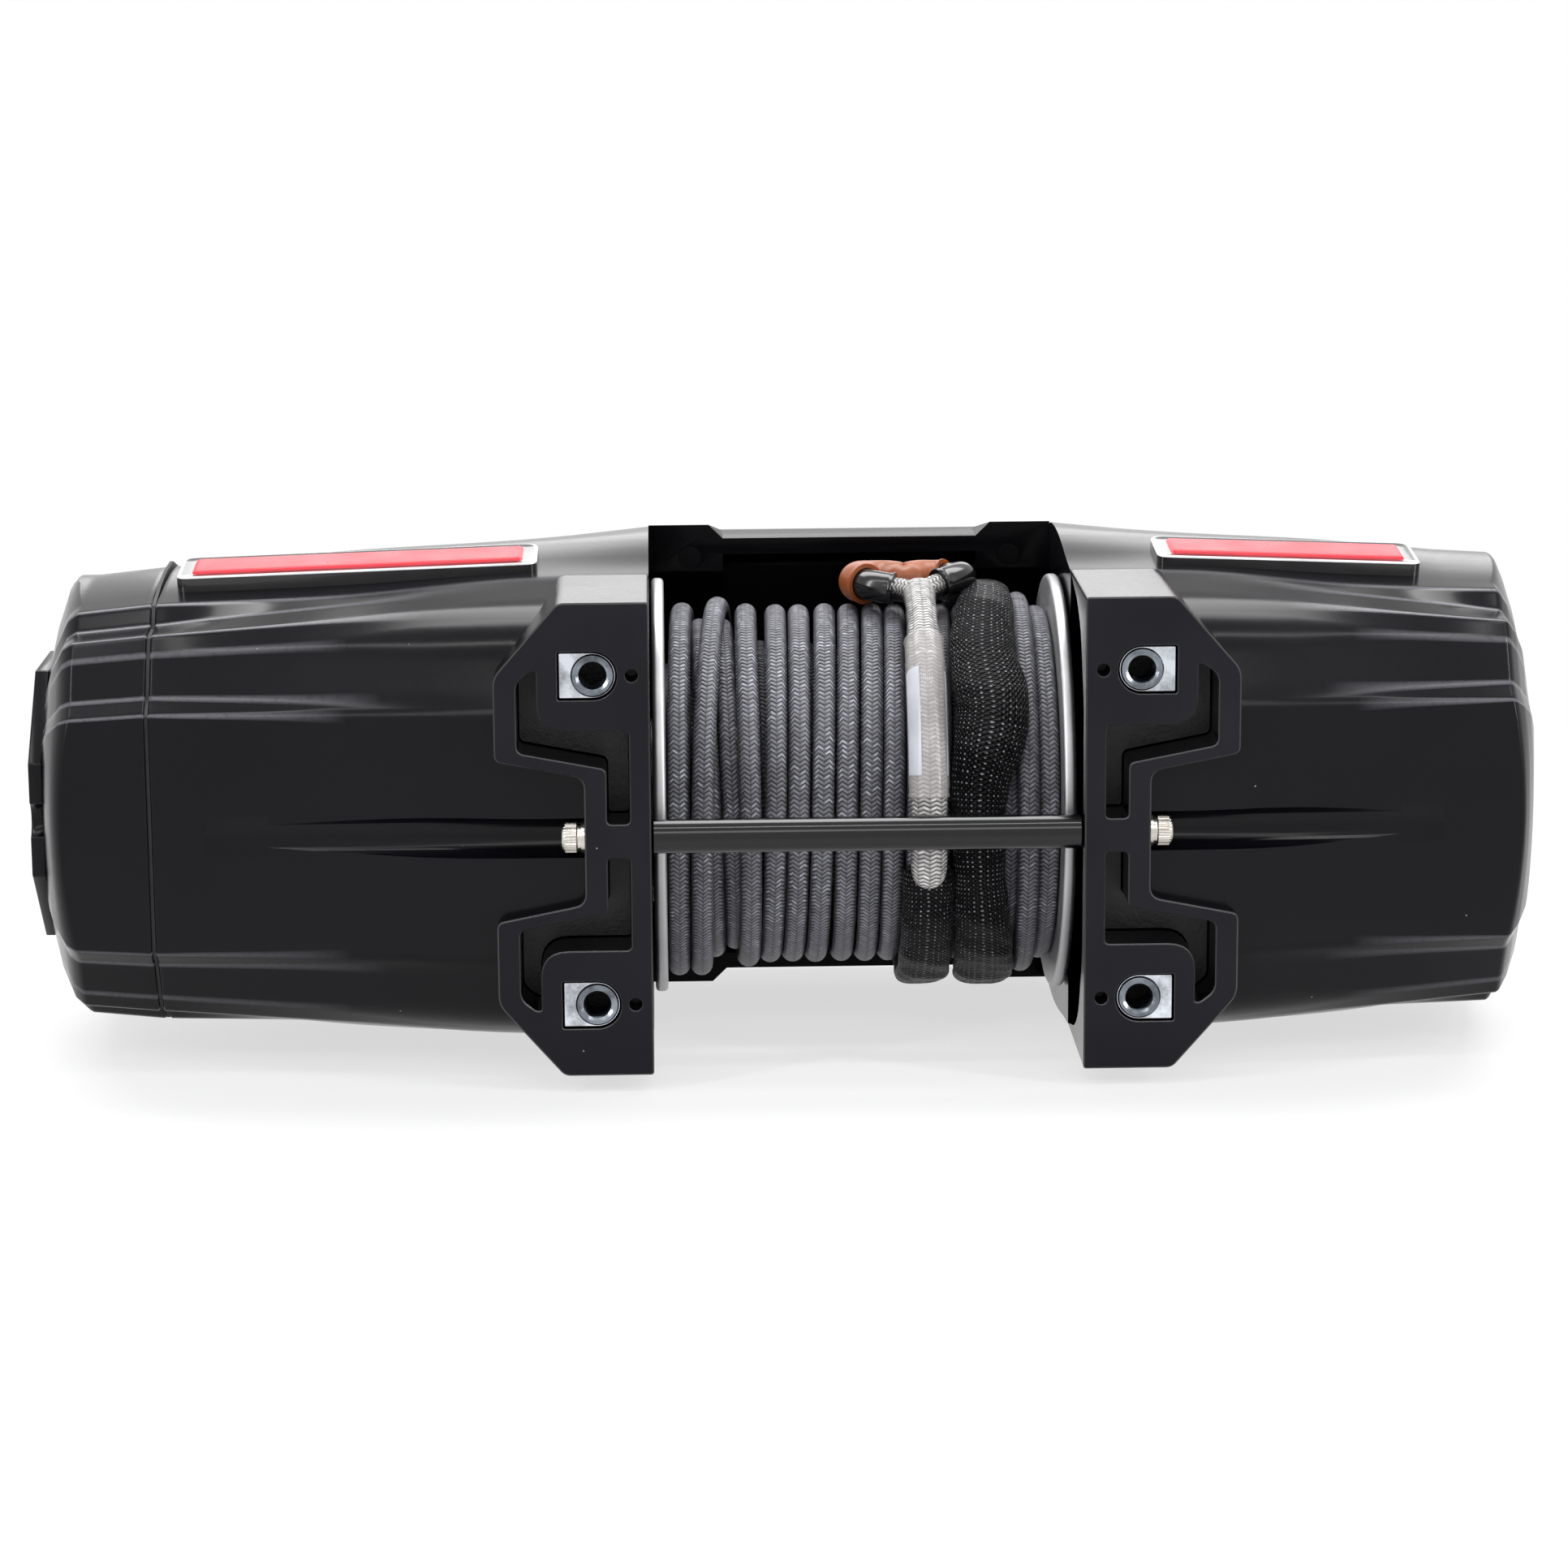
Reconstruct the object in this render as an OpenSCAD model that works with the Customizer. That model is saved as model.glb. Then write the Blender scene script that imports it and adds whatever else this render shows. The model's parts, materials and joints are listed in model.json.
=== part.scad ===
// Electric recovery winch for a utility vehicle, lying on its side.
// X runs along the drum, +Y away from the mounting face, +Z up. The origin is the
// centre of the bolt pattern, on the mounting face.

/* [Mounting feet] */
// Bolt spacing along the drum
bolt_pitch_x = 123.8; // [120:0.1:130]
// Bolt spacing across the drum
bolt_pitch_z = 76.2; // [72:0.1:80]
// Tapping bore of the mounting nuts, M8
nut_bore_d = 6.8; // [6:0.1:7]
// Clear width between the two feet, where the drum runs
foot_gap = 98.3; // [96:0.1:100]
// Height of a foot
foot_h = 109.5; // [106:0.5:112]
// Depth of the machined foot block
foot_depth = 39.2; // [37:0.2:41]
// Width of a foot at its machined top and bottom faces
foot_top_w = 20.4; // [19:0.2:22]
// Full width of a foot
foot_w = 35.2; // [34.4:0.1:36]
// Depth of the cast pockets in a foot
pocket_depth = 14; // [6:0.5:15]

/* [Body] */
// Full depth of the body
body_depth = 121.5; // [120:0.5:124]
// Distance of the drum axis behind the middle of the body's depth
axis_offset = 1.75; // [1.5:0.05:2]
// Full height of the body
body_h = 117.4; // [115:0.2:120]
// Length of the gear housing
gear_len = 114; // [112:0.5:120]
// Length of the end cap's straight band
cap_len = 17; // [15:0.5:20]
// Length of the end cap's bevelled nose
cap_nose_len = 8.5; // [7:0.5:10]
// Length of the motor housing up to its rounded end
motor_len = 97.9; // [96:0.1:100]
// Length of the motor housing's rounded end
motor_dome_len = 15; // [13:0.5:17]
// Thickness of the gasket between gear housing and end cap
gasket_t = 0.8; // [0.6:0.1:1]
// Thickness of the housings' inner end walls
wall_t = 8; // [7:0.5:8.4]

/* [Drum and rope] */
// Gap between the tie rod and the drum's flanges
rod_gap = 3.85; // [3.5:0.05:5]
// Thickness of a flange
flange_t = 3; // [2.6:0.1:3.6]
// Depth of rope from the barrel to the outer layer's centre line
rope_build = 16.8; // [16:0.1:18]
// Diameter of the rope
rope_d = 5.2; // [5:0.1:5.3]
// Distance of the outer layer's centre line below the flanges' rims
layer_drop = 9.7; // [9.5:0.1:10]
// Loops of rope in the outer layer
rope_loops = 15; // [14:1:15]
// Diameter of the doubled rope at the splice
splice_d = 8.5; // [8:0.1:8.6]
// Width of the woven sleeve on the rope
sleeve_w = 12.8; // [12:0.2:13]
// Thickness of the woven sleeve round the rope
sleeve_t = 6; // [5:0.1:6.2]
// Diameter of the thimble's tube
thimble_d = 7.6; // [7:0.1:7.8]

/* [Tie rod and cover] */
// Diameter of the tie rod
rod_d = 7.9; // [7.5:0.1:8]
// Distance from the mounting face to the tie rod's centre
rod_y = 5.2; // [5:0.1:5.3]
// Depth of the cover from front to back
cover_depth = 24; // [22:0.5:25]
// Distance of the cover's back in front of the body's back
cover_set_in = 0.5; // [0.1:0.1:1]
// Height of the cover between its two lips
cover_h = 108.4; // [107:0.2:109]

/* [Gear train] */
// Thickness of the ring gears' rim outside their teeth
ring_rim = 4.7; // [4.5:0.1:5.5]
// Face width of the third stage
third_stage_w = 24; // [20:1:25]
// Face width of the second stage
second_stage_w = 18; // [15:1:19]
// Face width of the first stage
first_stage_w = 14; // [11:1:15]
// Diameter of the drive shaft
shaft_d = 8; // [7:0.1:8]

/* [Motor] */
// Least depth of cast metal in front of the motor and the gears
front_metal = 9.4415; // [9:0.0005:10]
// Length of the motor can
can_len = 80; // [78:0.5:82]
// Thickness of the magnets
magnet_t = 6.2; // [5.8:0.1:6.4]
// Air gap between the magnets and the armature
air_gap = 1.27; // [1:0.01:1.5]
// Length of the armature's core
armature_len = 40; // [36:1:42]

/* [Hidden] */
$fn = 48;
black = [0.05, 0.05, 0.06];
machined = [0.16, 0.16, 0.18];
alloy = [0.72, 0.72, 0.74];
steel = [0.58, 0.58, 0.6];
stainless = [0.78, 0.77, 0.75];
zinc = [0.8, 0.83, 0.86];
rope_grey = [0.37, 0.38, 0.42];
bronze = [0.62, 0.45, 0.22];
copper = [0.72, 0.4, 0.2];
amber = [0.66, 0.35, 0.16];

// One overrun for every cut
over = 1;
// Clearance between fixed pieces that fit inside one another
seat = 0.03;
// Radial clearance of a running fit
run = 0.05;
// Axial clearance between turning faces
end_play = 0.4;

// Feet
inner_s = foot_gap / 2;
foot_half = foot_h / 2;
foot_out_s = inner_s + foot_w;
foot_top_s = inner_s + foot_top_w;
// Height of the foot's outer edge, as a share of half its height
foot_edge_share = 0.692;
// Lower end of the foot's outer edge, as a share of half its height
foot_waist_share = 0.34;
// Half height of the web between the two lobes of a foot
web_half = 14.6;
// Width of that web
web_w = 15.05;
corner_r = 1.5;
pocket_r = 1.2;
// Inner and outer edges of the slot beside the web, from the foot's inner face
slot_in = 4.75;
slot_out = 9.95;
// Half height of the bar of metal that holds the tie rod's screw
rod_bar_half = 3.9;
// Thickness of metal between a pocket and the foot's edge
rim_t = 5.2;
// Half width of the boss round a mounting nut, and its corner
boss_r = 12.7;
boss_corner_r = 6.5;
nut_s = bolt_pitch_x / 2;
nut_z = bolt_pitch_z / 2;
nut_h = 10.6;
nut_square = 7.7;
nut_t = 7.4;
nut_sink = 0.9;
nut_ring_d = 8.9;
nut_ring_t = 0.5;
nut_play = 0.1;
nut_hole_depth = 9;
dowel_in = 4;
dowel_s = inner_s + dowel_in;
dowel_d = 3;
dowel_depth = 7;
bolt_clear_d = 8.8;
bolt_clear_depth = 7;

// Sections of the body: distance behind the mounting face as a share of body_depth,
// and height as a share of half of body_h, from the front centre round to the back
body_half = body_h / 2;
axis_y = body_depth / 2 + axis_offset;
root_y_shares = [0.037, 0.037, 0.049, 0.107, 0.183, 0.28, 0.321, 0.411, 0.527, 0.642, 0.79, 0.905, 0.975, 1];
root_z_shares = [0, 0.477, 0.545, 0.77, 0.86, 0.903, 0.925, 0.944, 0.98, 1, 0.988, 0.886, 0.613, 0];
foot_y_shares = [0.037, 0.037, 0.053, 0.107, 0.183, 0.28, 0.321, 0.411, 0.527, 0.642, 0.774, 0.889, 0.963, 0.988];
foot_z_shares = [0, 0.477, 0.545, 0.77, 0.86, 0.903, 0.92, 0.937, 0.962, 0.976, 0.937, 0.809, 0.554, 0];
mid_y_shares = [0.072, 0.072, 0.095, 0.146, 0.193, 0.251, 0.305, 0.411, 0.527, 0.642, 0.774, 0.877, 0.947, 0.971];
mid_z_shares = [0, 0.479, 0.531, 0.733, 0.811, 0.852, 0.867, 0.903, 0.937, 0.947, 0.891, 0.75, 0.494, 0];
end_y_shares = [0.099, 0.099, 0.132, 0.174, 0.198, 0.272, 0.3, 0.411, 0.527, 0.642, 0.765, 0.86, 0.926, 0.951];
end_z_shares = [0, 0.477, 0.531, 0.687, 0.755, 0.767, 0.85, 0.893, 0.917, 0.918, 0.852, 0.698, 0.443, 0];
half_points = len(root_y_shares);
// Where the foot and middle sections stand, as shares of a housing's length
gear_foot_share = 0.262;
gear_mid_share = 0.605;
motor_foot_share = 0.305;
motor_mid_share = 0.642;
// Steps of the rounded end: reach, as a share of its length, and size, as a share
dome_reach_shares = [0.33, 0.62, 0.84, 1];
dome_size_shares = [0.925, 0.81, 0.62, 0.34];
nose_reach_shares = [0.3, 1];
nose_size_shares = [0.965, 0.66];
// Size of the gasket against the end section, as a share
gasket_share = 0.985;
cavity_r = axis_y - end_y_shares[0] * body_depth - front_metal;
gear_end_s = inner_s + gear_len;
cap_s = gear_end_s + gasket_t;
cap_edge_s = cap_s + cap_len;
cap_end_s = cap_edge_s + cap_nose_len;
motor_edge_s = inner_s + motor_len;

// Troughs that let the tie rod's screws be reached
trough_r = 4.7;
gear_trough_short = 12;
motor_trough_short = 15;
gear_trough_end_s = gear_end_s - gear_trough_short;
motor_trough_end_s = motor_edge_s - motor_trough_short;
gear_trough_drop = 0.66;
motor_trough_drop = 0.42;

// Drum
rod_back_y = rod_y + rod_d / 2;
flange_d = 2 * (axis_y - rod_back_y - rod_gap);
layer_r = flange_d / 2 - layer_drop;
barrel_d = 2 * (layer_r - rope_build);

// Bearings of the drum
journal_d = 31.9;
bush_t = 3;
bush_in_r = journal_d / 2 + run;
bush_out_r = bush_in_r + bush_t;
seal_t = 1.4;

drum_play = 0.5;
flange_out_s = inner_s - drum_play;
flange_in_s = flange_out_s - flange_t;
journal_end_s = inner_s + wall_t + end_play;
drum_bore_r = 12;
// Screw that holds the rope's end in the barrel
anchor_in = 5;
anchor_x = flange_in_s - anchor_in;
anchor_r = 2.5;
anchor_gap = 0.4;
anchor_in_r = drum_bore_r + anchor_gap;

// Tie rod
rod_screw_d = 4;
rod_screw_head_d = 7;
rod_screw_head_t = 3.6;
rod_screw_grip = 9;
hex_af_share = 0.75;
hex_depth_share = 0.5;
washer_t = 0.8;
washer_d = 7.4;
web_out_s = inner_s + web_w;

// Cover
cover_back_y = body_depth - cover_set_in;
cover_front_y = cover_back_y - cover_depth;
cover_lip_t = 3.9;
cover_web_t = 3.4;
cover_corner_r = 10;
cover_half = cover_h / 2;
bracket_in_s = 31;
bracket_top_in_s = 34.5;
bracket_h = 11.5;
bracket_rise = 3.4;
bracket_slope_y = 13;
bracket_web = 5;
plug_d = 5.5;
plug_s = 39;
plug_drop = 8;
plug_t = 3;
plug_proud = 0.3;
cover_screw_d = 4;
cover_screw_head_d = 6.5;
cover_screw_head_t = 2.4;
cover_screw_play = 0.25;
cover_screw_grip = 9;
cover_screw_z = 46;
cover_screw_in = 6.8;
cover_screw_y = cover_front_y + cover_screw_in;
cover_seat_s = 38;

// Blank plates on the housings
plate_t = 1.6;
plate_skin = 0.5;
gear_plate_len = 84;
motor_plate_len = 62;
plate_w = 20;
plate_y = 55;
gear_plate_in = 68;
motor_plate_in = 52;
gear_plate_s = inner_s + gear_plate_in;
motor_plate_s = inner_s + motor_plate_in;

// Gears
sun_teeth = 14;
planet_teeth = 22;
ring_teeth = sun_teeth + 2 * planet_teeth;
pressure_angle = 25;
// Height and depth of a tooth, in modules
addendum_share = 0.95;
dedendum_share = 1.25;
// Tooth thinning at the pitch circle, in modules, for each flank
thinning_share = 0.085;
ring_out_r = cavity_r - seat;
tooth_module = (ring_out_r - ring_rim) / (ring_teeth / 2 + dedendum_share);
centre_dist = tooth_module * (sun_teeth + planet_teeth) / 2;
sun_hub_r = tooth_module * (sun_teeth / 2 - dedendum_share);
planet_turns = [0, 120, 240];
pin_r = 3.5;
carrier_drop = 9;
carrier_r = ring_out_r - carrier_drop;
shaft_r = shaft_d / 2;
shaft_gap = 0.4;
third_plate_t = 7;
second_plate_t = 6;
first_plate_t = 5;
spline_r = drum_bore_r - seat;
spline_len = 10;
third_plate_s = journal_end_s + end_play;
third_s = third_plate_s + third_plate_t + end_play;
second_plate_s = third_s + third_stage_w + end_play;
second_s = second_plate_s + second_plate_t + end_play;
first_plate_s = second_s + second_stage_w + end_play;
first_s = first_plate_s + first_plate_t + end_play;
first_end_s = first_s + first_stage_w;
ring_start_s = third_s - 2 * end_play;
ring_end_s = first_plate_s + end_play;
clutch_ring_s = ring_end_s + end_play;
clutch_ring_proud = 2;
clutch_ring_end_s = first_end_s + clutch_ring_proud;

// Clutch
lock_pins = 6;
lock_pin_r = 1.4;
lock_pin_in = 4.6;
lock_plate_t = 4;
lock_play = 0.4;
lock_s = clutch_ring_end_s + lock_play;
lock_hub_r = 10;
lock_hub_len = 15;
lock_disc_play = 0.5;
lock_disc_r = cavity_r - lock_disc_play;
key_w = 8;
key_h = 2.5;
key_play = 0.1;
dial_stem_r = 6;
dial_across = 64;
dial_sides = 8;
dial_t = 3.4;
dial_sink = 5.6;
dial_disc_r = 26;
dial_play = 0.4;
dial_grip_w = 9;
dial_pocket_r = 21;
dial_face_s = cap_end_s + end_play;
dial_notch_r = 4.6;
cap_wall_t = 10;
cap_bore_drop = 3.03;
cap_bore_r = cavity_r - cap_bore_drop;

// End cap screws
cap_screw_out = 5.57;
cap_screw_ring_r = cavity_r + cap_screw_out;
cap_screw_turns = [30, -30, 80, -80];
cap_screw_d = 4;
cap_screw_head_d = 7;
cap_screw_head_t = 4;
cap_screw_seat = 7;
cap_screw_seat_s = cap_s + cap_screw_seat;
cap_screw_len = 18;
cap_screw_play = 0.2;

// Motor
can_t = 3;
can_r = cavity_r - seat;
can_in_r = can_r - can_t;
motor_plate_gap = 3;
can_s = inner_s + wall_t + motor_plate_gap;
magnet_len = 48;
magnet_arc = 70;
magnet_in = 10;
core_in = 4;
magnet_s = can_s + magnet_in;
core_s = magnet_s + core_in;
motor_shaft_r = 5;
motor_shaft_reach = 1;
motor_shaft_in_s = inner_s - motor_shaft_reach;
coupling_r = 8;
coupling_len = 13;
bearing_r = 11;
bearing_w = 7;
front_bearing_in = 1;
front_bearing_s = inner_s + wall_t + front_bearing_in;
bearing_boss_r = 14;
end_plate_spigot = 4;
cavity_end_s = can_s + can_len + seat;
rear_bearing_in = 0.5;
rear_bearing_s = cavity_end_s + rear_bearing_in;
armature_r = can_in_r - seat - magnet_t - air_gap;
winding_drop = 2.5;
winding_r = armature_r - winding_drop;
winding_in_r = 12;
winding_w = 7;
slot_count = 12;
slot_w = 3;
slot_deep = 9;
commutator_r = 14;
commutator_w = 12;
commutator_gap = 2;
commutator_s = core_s + armature_len + winding_w + commutator_gap;
bar_count = 12;
bar_gap = 0.8;
brush_plate_t = 2.4;
brush_plate_gap = 1.4;
brush_plate_s = commutator_s + commutator_w + brush_plate_gap;
brush_w = 8;
brush_h = 6;
// Lengths of a brush and its spring, as shares of the room outside the commutator
brush_len_share = 5 / 12;
brush_spring_share = 7 / 24;
brush_room = can_in_r - commutator_r;
brush_len = brush_len_share * brush_room;
brush_gap = 0.1;
brush_wall = 1.2;
brush_box_gap = 1.5;
brush_turns = [45, 135, 225, 315];
brush_spring_r = 2;
brush_spring_len = brush_spring_share * brush_room;

// Terminals
stud_r = 3;
stud_in = 79;
stud_s = inner_s + stud_in;
stud_z = 12;
pad_drop = 13.5;
pad_y = body_depth - pad_drop;
pad_w = 20;
pad_h = 46;
insulator_r = 5;
insulator_flange_r = 7;
insulator_flange_t = 2;
terminal_nut_af = 10;
terminal_nut_t = 4.5;
stud_len = 17.4;

// Rope
rope_r = rope_d / 2;
rings_per_loop = 24;
rope_sides = 6;
rope_side_play = 0.3;
core_gap = 0.5;
core_r = layer_r - rope_r - core_gap;
rope_first_x = -(flange_in_s - rope_r - rope_side_play);
rope_pitch = -2 * rope_first_x / rope_loops;
rope_start_turn = 200;
bend_share = 1.15;
bend_r = bend_share * rope_d;
bend_steps = 5;
socket_play = 0.3;
layer_top_r = layer_r + rope_r;

// Woven sleeve: its first end lies under the splice, at the front
sleeve_start_turn = -19.6;
sleeve_turns = 1.33;
sleeve_gap = 0.4;
sleeve_base_r = layer_top_r + sleeve_gap;
// Places along the drum for turns of the sleeve, counted from the front centre
sleeve_route = [
    [-520, 35.8], [-480, 33.2], [-417, 29], [-337, 27.8], [-300, 29.6], [-280, 31.5],
    [-262, 33.8], [-245, 31.5], [-60, 13.2], [0, 12.8]
];
sleeve_outline_shares = [
    [-0.5, 0.3], [-0.42, 0.75], [-0.2, 1], [0.2, 1], [0.42, 0.75], [0.5, 0.3], [0.36, 0], [-0.36, 0]
];

// Splice, heat-shrink and thimble: places along the drum in millimetres of X, and
// turns in degrees from the front centre upwards
splice_x = 14.3;
splice_r = splice_d / 2;
splice_gap = 0.75;
splice_path_r = layer_top_r + splice_r + splice_gap;
splice_low_turn = -19;
splice_high_turn = 79;
splice_steps = 14;
// Outside of the shrunk tube above the splice, and its inside
shrink_t = 0.45;
shrink_gap = 0.15;
shrink_low_turn = 8;
shrink_high_turn = 54;
shrink_steps = 8;
eye_half_w = 11;
eye_lean = 2.5;
eye_arc = 25;
eye_shape = 0.6;
eye_gap = 1.35;
eye_path_r = layer_top_r + thimble_d / 2 + eye_gap;
eye_steps = 24;
// Small step along the eye, as a share of its length
eye_step = 0.005;
thimble_sides = 10;
leg_steps = 5;
// Where along the eye, as shares of its length, the tube and the outer sleeve begin
tube_start_share = 0.17;
sleeve_start_share = 0.3;
eye_sleeve_d = 9.9;

// Distance along X of a share of a housing's length
function station(s_share, length) = inner_s + s_share * length;

// A body section as a ring of points at distance s, sized by k about the drum axis
function section(s, y_shares, z_shares, k) = concat(
    [for (i = [0 : half_points - 1]) [s, axis_y + k * (y_shares[i] * body_depth - axis_y),
        k * z_shares[i] * body_half]],
    [for (i = [half_points - 2 : -1 : 1]) [s, axis_y + k * (y_shares[i] * body_depth - axis_y),
        -k * z_shares[i] * body_half]]
);
function end_section(s, k) = section(s, end_y_shares, end_z_shares, k);
module end_prism(from, to, k) {
    along_x(from, to) polygon([for (p = end_section(0, k)) [p[1], p[2]]]);
}

// Closed skin over rings of points, with flat ends; faces are triangles on the sides
module loft(rings) {
    n = len(rings[0]);
    m = len(rings);
    points = [for (ring = rings) for (p = ring) p];
    sides = [for (j = [0 : m - 2]) for (i = [0 : n - 1])
        each [[j * n + i, (j + 1) * n + (i + 1) % n, (j + 1) * n + i],
              [j * n + i, j * n + (i + 1) % n, (j + 1) * n + (i + 1) % n]]];
    first = [[for (i = [n - 1 : -1 : 0]) i]];
    last = [[for (i = [0 : n - 1]) (m - 1) * n + i]];
    polyhedron(points = points, faces = concat(first, sides, last), convexity = 6);
}

// Everything on the gear side is drawn on the motor side's half and mirrored
module gear_side() {
    mirror([1, 0, 0]) children();
}

// A round bar along X about the drum axis
module bar(from, to, r) {
    translate([from, axis_y, 0]) rotate([0, 90, 0]) cylinder(r = r, h = to - from);
}

// A round bar along X at a given place
module bar_at(from, to, r, y, z) {
    translate([from, y, z]) rotate([0, 90, 0]) cylinder(r = r, h = to - from);
}

module tube(from, to, r_out, r_in) {
    difference() {
        bar(from, to, r_out);
        bar(from - over, to + over, r_in);
    }
}

// Outline of one foot seen from the front, with X as distance from the middle
module foot_outline() {
    edge_z = foot_edge_share * foot_half;
    waist_z = foot_waist_share * foot_half;
    offset(r = corner_r) offset(delta = -corner_r)
    offset(r = -corner_r) offset(delta = corner_r)
    polygon([
        [inner_s, -foot_half], [foot_top_s, -foot_half], [foot_out_s, -edge_z],
        [foot_out_s, -waist_z], [web_out_s, -web_half],
        [web_out_s, web_half], [foot_out_s, waist_z], [foot_out_s, edge_z],
        [foot_top_s, foot_half], [inner_s, foot_half]
    ]);
}

// Outline of the upper cast pocket of a foot, a channel that runs round the nut's boss
module pocket_outline() {
    edge_z = foot_edge_share * foot_half;
    waist_z = foot_waist_share * foot_half + rod_bar_half / 2;
    in_s = inner_s + slot_in;
    mid_s = inner_s + slot_out;
    out_s = foot_out_s - rim_t;
    boss_s = nut_s + boss_r;
    offset(r = pocket_r) offset(delta = -pocket_r) difference() {
        polygon([
            [in_s, rod_bar_half], [mid_s, rod_bar_half], [mid_s, waist_z - rod_bar_half],
            [out_s, waist_z], [out_s, edge_z - pocket_r], [boss_s + pocket_r, nut_z + pocket_r],
            [in_s, nut_z + pocket_r]
        ]);
        offset(r = boss_corner_r) offset(delta = -boss_corner_r)
            translate([boss_s - foot_w, nut_z - boss_r]) square([foot_w, foot_w]);
    }
}

module nut_outline(play) {
    translate([nut_s, 0]) circle(d = nut_h + 2 * play);
    translate([nut_s, -nut_h / 2 - play]) square([nut_square + play, nut_h + 2 * play]);
}

// Extrudes a front-view outline back from y0 by depth
module from_front(y0, depth) {
    translate([0, y0 + depth, 0]) rotate([90, 0, 0]) linear_extrude(height = depth) children();
}

// Pockets, nut recesses with their bolt holes, locating holes, and the screw hole of a foot
module foot_cuts() {
    for (side = [0, 1]) mirror([0, 0, side]) {
        from_front(-over, pocket_depth + over) pocket_outline();
        from_front(-over, nut_hole_depth + over) translate([0, nut_z]) nut_outline(nut_play);
        translate([nut_s, nut_hole_depth - over, nut_z]) rotate([-90, 0, 0])
            cylinder(d = bolt_clear_d, h = bolt_clear_depth + over);
        translate([dowel_s, -over, nut_z]) rotate([-90, 0, 0])
            cylinder(d = dowel_d, h = dowel_depth + over);
    }
    bar_at(inner_s - over, web_out_s + over, rod_screw_d / 2 + run, rod_y, 0);
}

module trough(end_s, drop) {
    start_s = web_out_s;
    run_len = end_s - start_s;
    translate([start_s, rod_y, 0]) rotate([0, 90, atan(drop / run_len)])
        cylinder(r = trough_r, h = run_len);
}

module body_shell(length, foot_share, mid_share, dome) {
    foot_s = station(foot_share, length);
    mid_s = station(mid_share, length);
    edge_s = inner_s + length;
    plain = [
        section(inner_s, root_y_shares, root_z_shares, 1),
        section(foot_s, foot_y_shares, foot_z_shares, 1),
        section(mid_s, mid_y_shares, mid_z_shares, 1),
        end_section(edge_s, 1)
    ];
    domed = [for (i = [0 : len(dome_reach_shares) - 1])
        end_section(edge_s + dome_reach_shares[i] * motor_dome_len, dome_size_shares[i])];
    loft(dome ? concat(plain, domed) : plain);
}

module cap_screw_places() {
    for (turn = cap_screw_turns)
        translate([0, axis_y + cap_screw_ring_r * cos(turn), cap_screw_ring_r * sin(turn)]) children();
}

module gear_housing() {
    color(black) gear_side() difference() {
        union() {
            body_shell(gear_len, gear_foot_share, gear_mid_share, false);
            from_front(0, foot_depth) foot_outline();
        }
        foot_cuts();
        trough(gear_trough_end_s, gear_trough_drop);
        bar(inner_s + wall_t, gear_end_s + over, cavity_r);
        bar(inner_s - over, inner_s + wall_t + over, bush_out_r + seat);
        cover_joint_holes();
        lock_keys(lock_s - over, gear_end_s + over, key_play);
        cap_screw_places() translate([cap_screw_seat_s - cap_screw_len, 0, 0]) rotate([0, 90, 0])
            cylinder(r = cap_screw_d / 2 + run, h = cap_screw_len);
    }
}

module motor_housing() {
    color(black) difference() {
        union() {
            body_shell(motor_len, motor_foot_share, motor_mid_share, true);
            from_front(0, foot_depth) foot_outline();
        }
        foot_cuts();
        trough(motor_trough_end_s, motor_trough_drop);
        bar(inner_s - over, cavity_end_s, cavity_r);
        bar(cavity_end_s - over, rear_bearing_s + bearing_w, bearing_r + seat);
        cover_joint_holes();
        translate([stud_s - pad_w / 2, pad_y, -pad_h / 2]) cube([pad_w, body_depth - pad_y, pad_h]);
        for (side = [-1, 1]) translate([stud_s, axis_y, side * stud_z]) rotate([-90, 0, 0])
            cylinder(r = insulator_r + seat, h = pad_y - axis_y + over);
    }
}

// Tapped holes in the housings' inner faces for the cover's screws
module cover_joint_holes() {
    for (side = [-1, 1])
        bar_at(inner_s - over, inner_s + cover_screw_grip + over, cover_screw_d / 2 + run,
            cover_screw_y, side * cover_screw_z);
}

module end_cap() {
    nose = [for (i = [0 : len(nose_reach_shares) - 1])
        end_section(cap_edge_s + nose_reach_shares[i] * cap_nose_len, nose_size_shares[i])];
    color(black) gear_side() difference() {
        union() {
            end_prism(cap_s, cap_edge_s, 1);
            loft(concat([end_section(cap_edge_s, 1)], nose));
        }
        bar(cap_s - over, cap_end_s - cap_wall_t, cap_bore_r);
        bar(cap_end_s - dial_sink, cap_end_s + over, dial_disc_r + dial_play);
        bar(cap_s, cap_end_s + over, dial_stem_r + run);
        cap_screw_places() {
            translate([cap_s - over, 0, 0]) rotate([0, 90, 0])
                cylinder(r = cap_screw_d / 2 + cap_screw_play, h = cap_len + cap_nose_len);
            translate([cap_screw_seat_s, 0, 0]) rotate([0, 90, 0])
                cylinder(r = cap_screw_head_d / 2 + cap_screw_play, h = cap_len + cap_nose_len);
        }
    }
}

module end_cap_gasket() {
    color([0.08, 0.08, 0.08]) gear_side() difference() {
        end_prism(gear_end_s, cap_s, gasket_share);
        bar(gear_end_s - over, cap_s + over, cavity_r);
        cap_screw_places() translate([gear_end_s - over, 0, 0]) rotate([0, 90, 0])
            cylinder(r = cap_screw_d / 2 + cap_screw_play, h = gasket_t + 2 * over);
    }
}

// Socket-head screw along X with its head's underside at X = 0
module socket_screw(d, head_d, head_t, length) {
    difference() {
        union() {
            rotate([0, 90, 0]) cylinder(d = head_d, h = head_t);
            translate([-length, 0, 0]) rotate([0, 90, 0]) cylinder(d = d, h = length);
        }
        translate([head_t * (1 - hex_depth_share), 0, 0]) rotate([0, 90, 0])
            cylinder(d = d * hex_af_share / cos(30), h = head_t, $fn = 6);
    }
}

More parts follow.
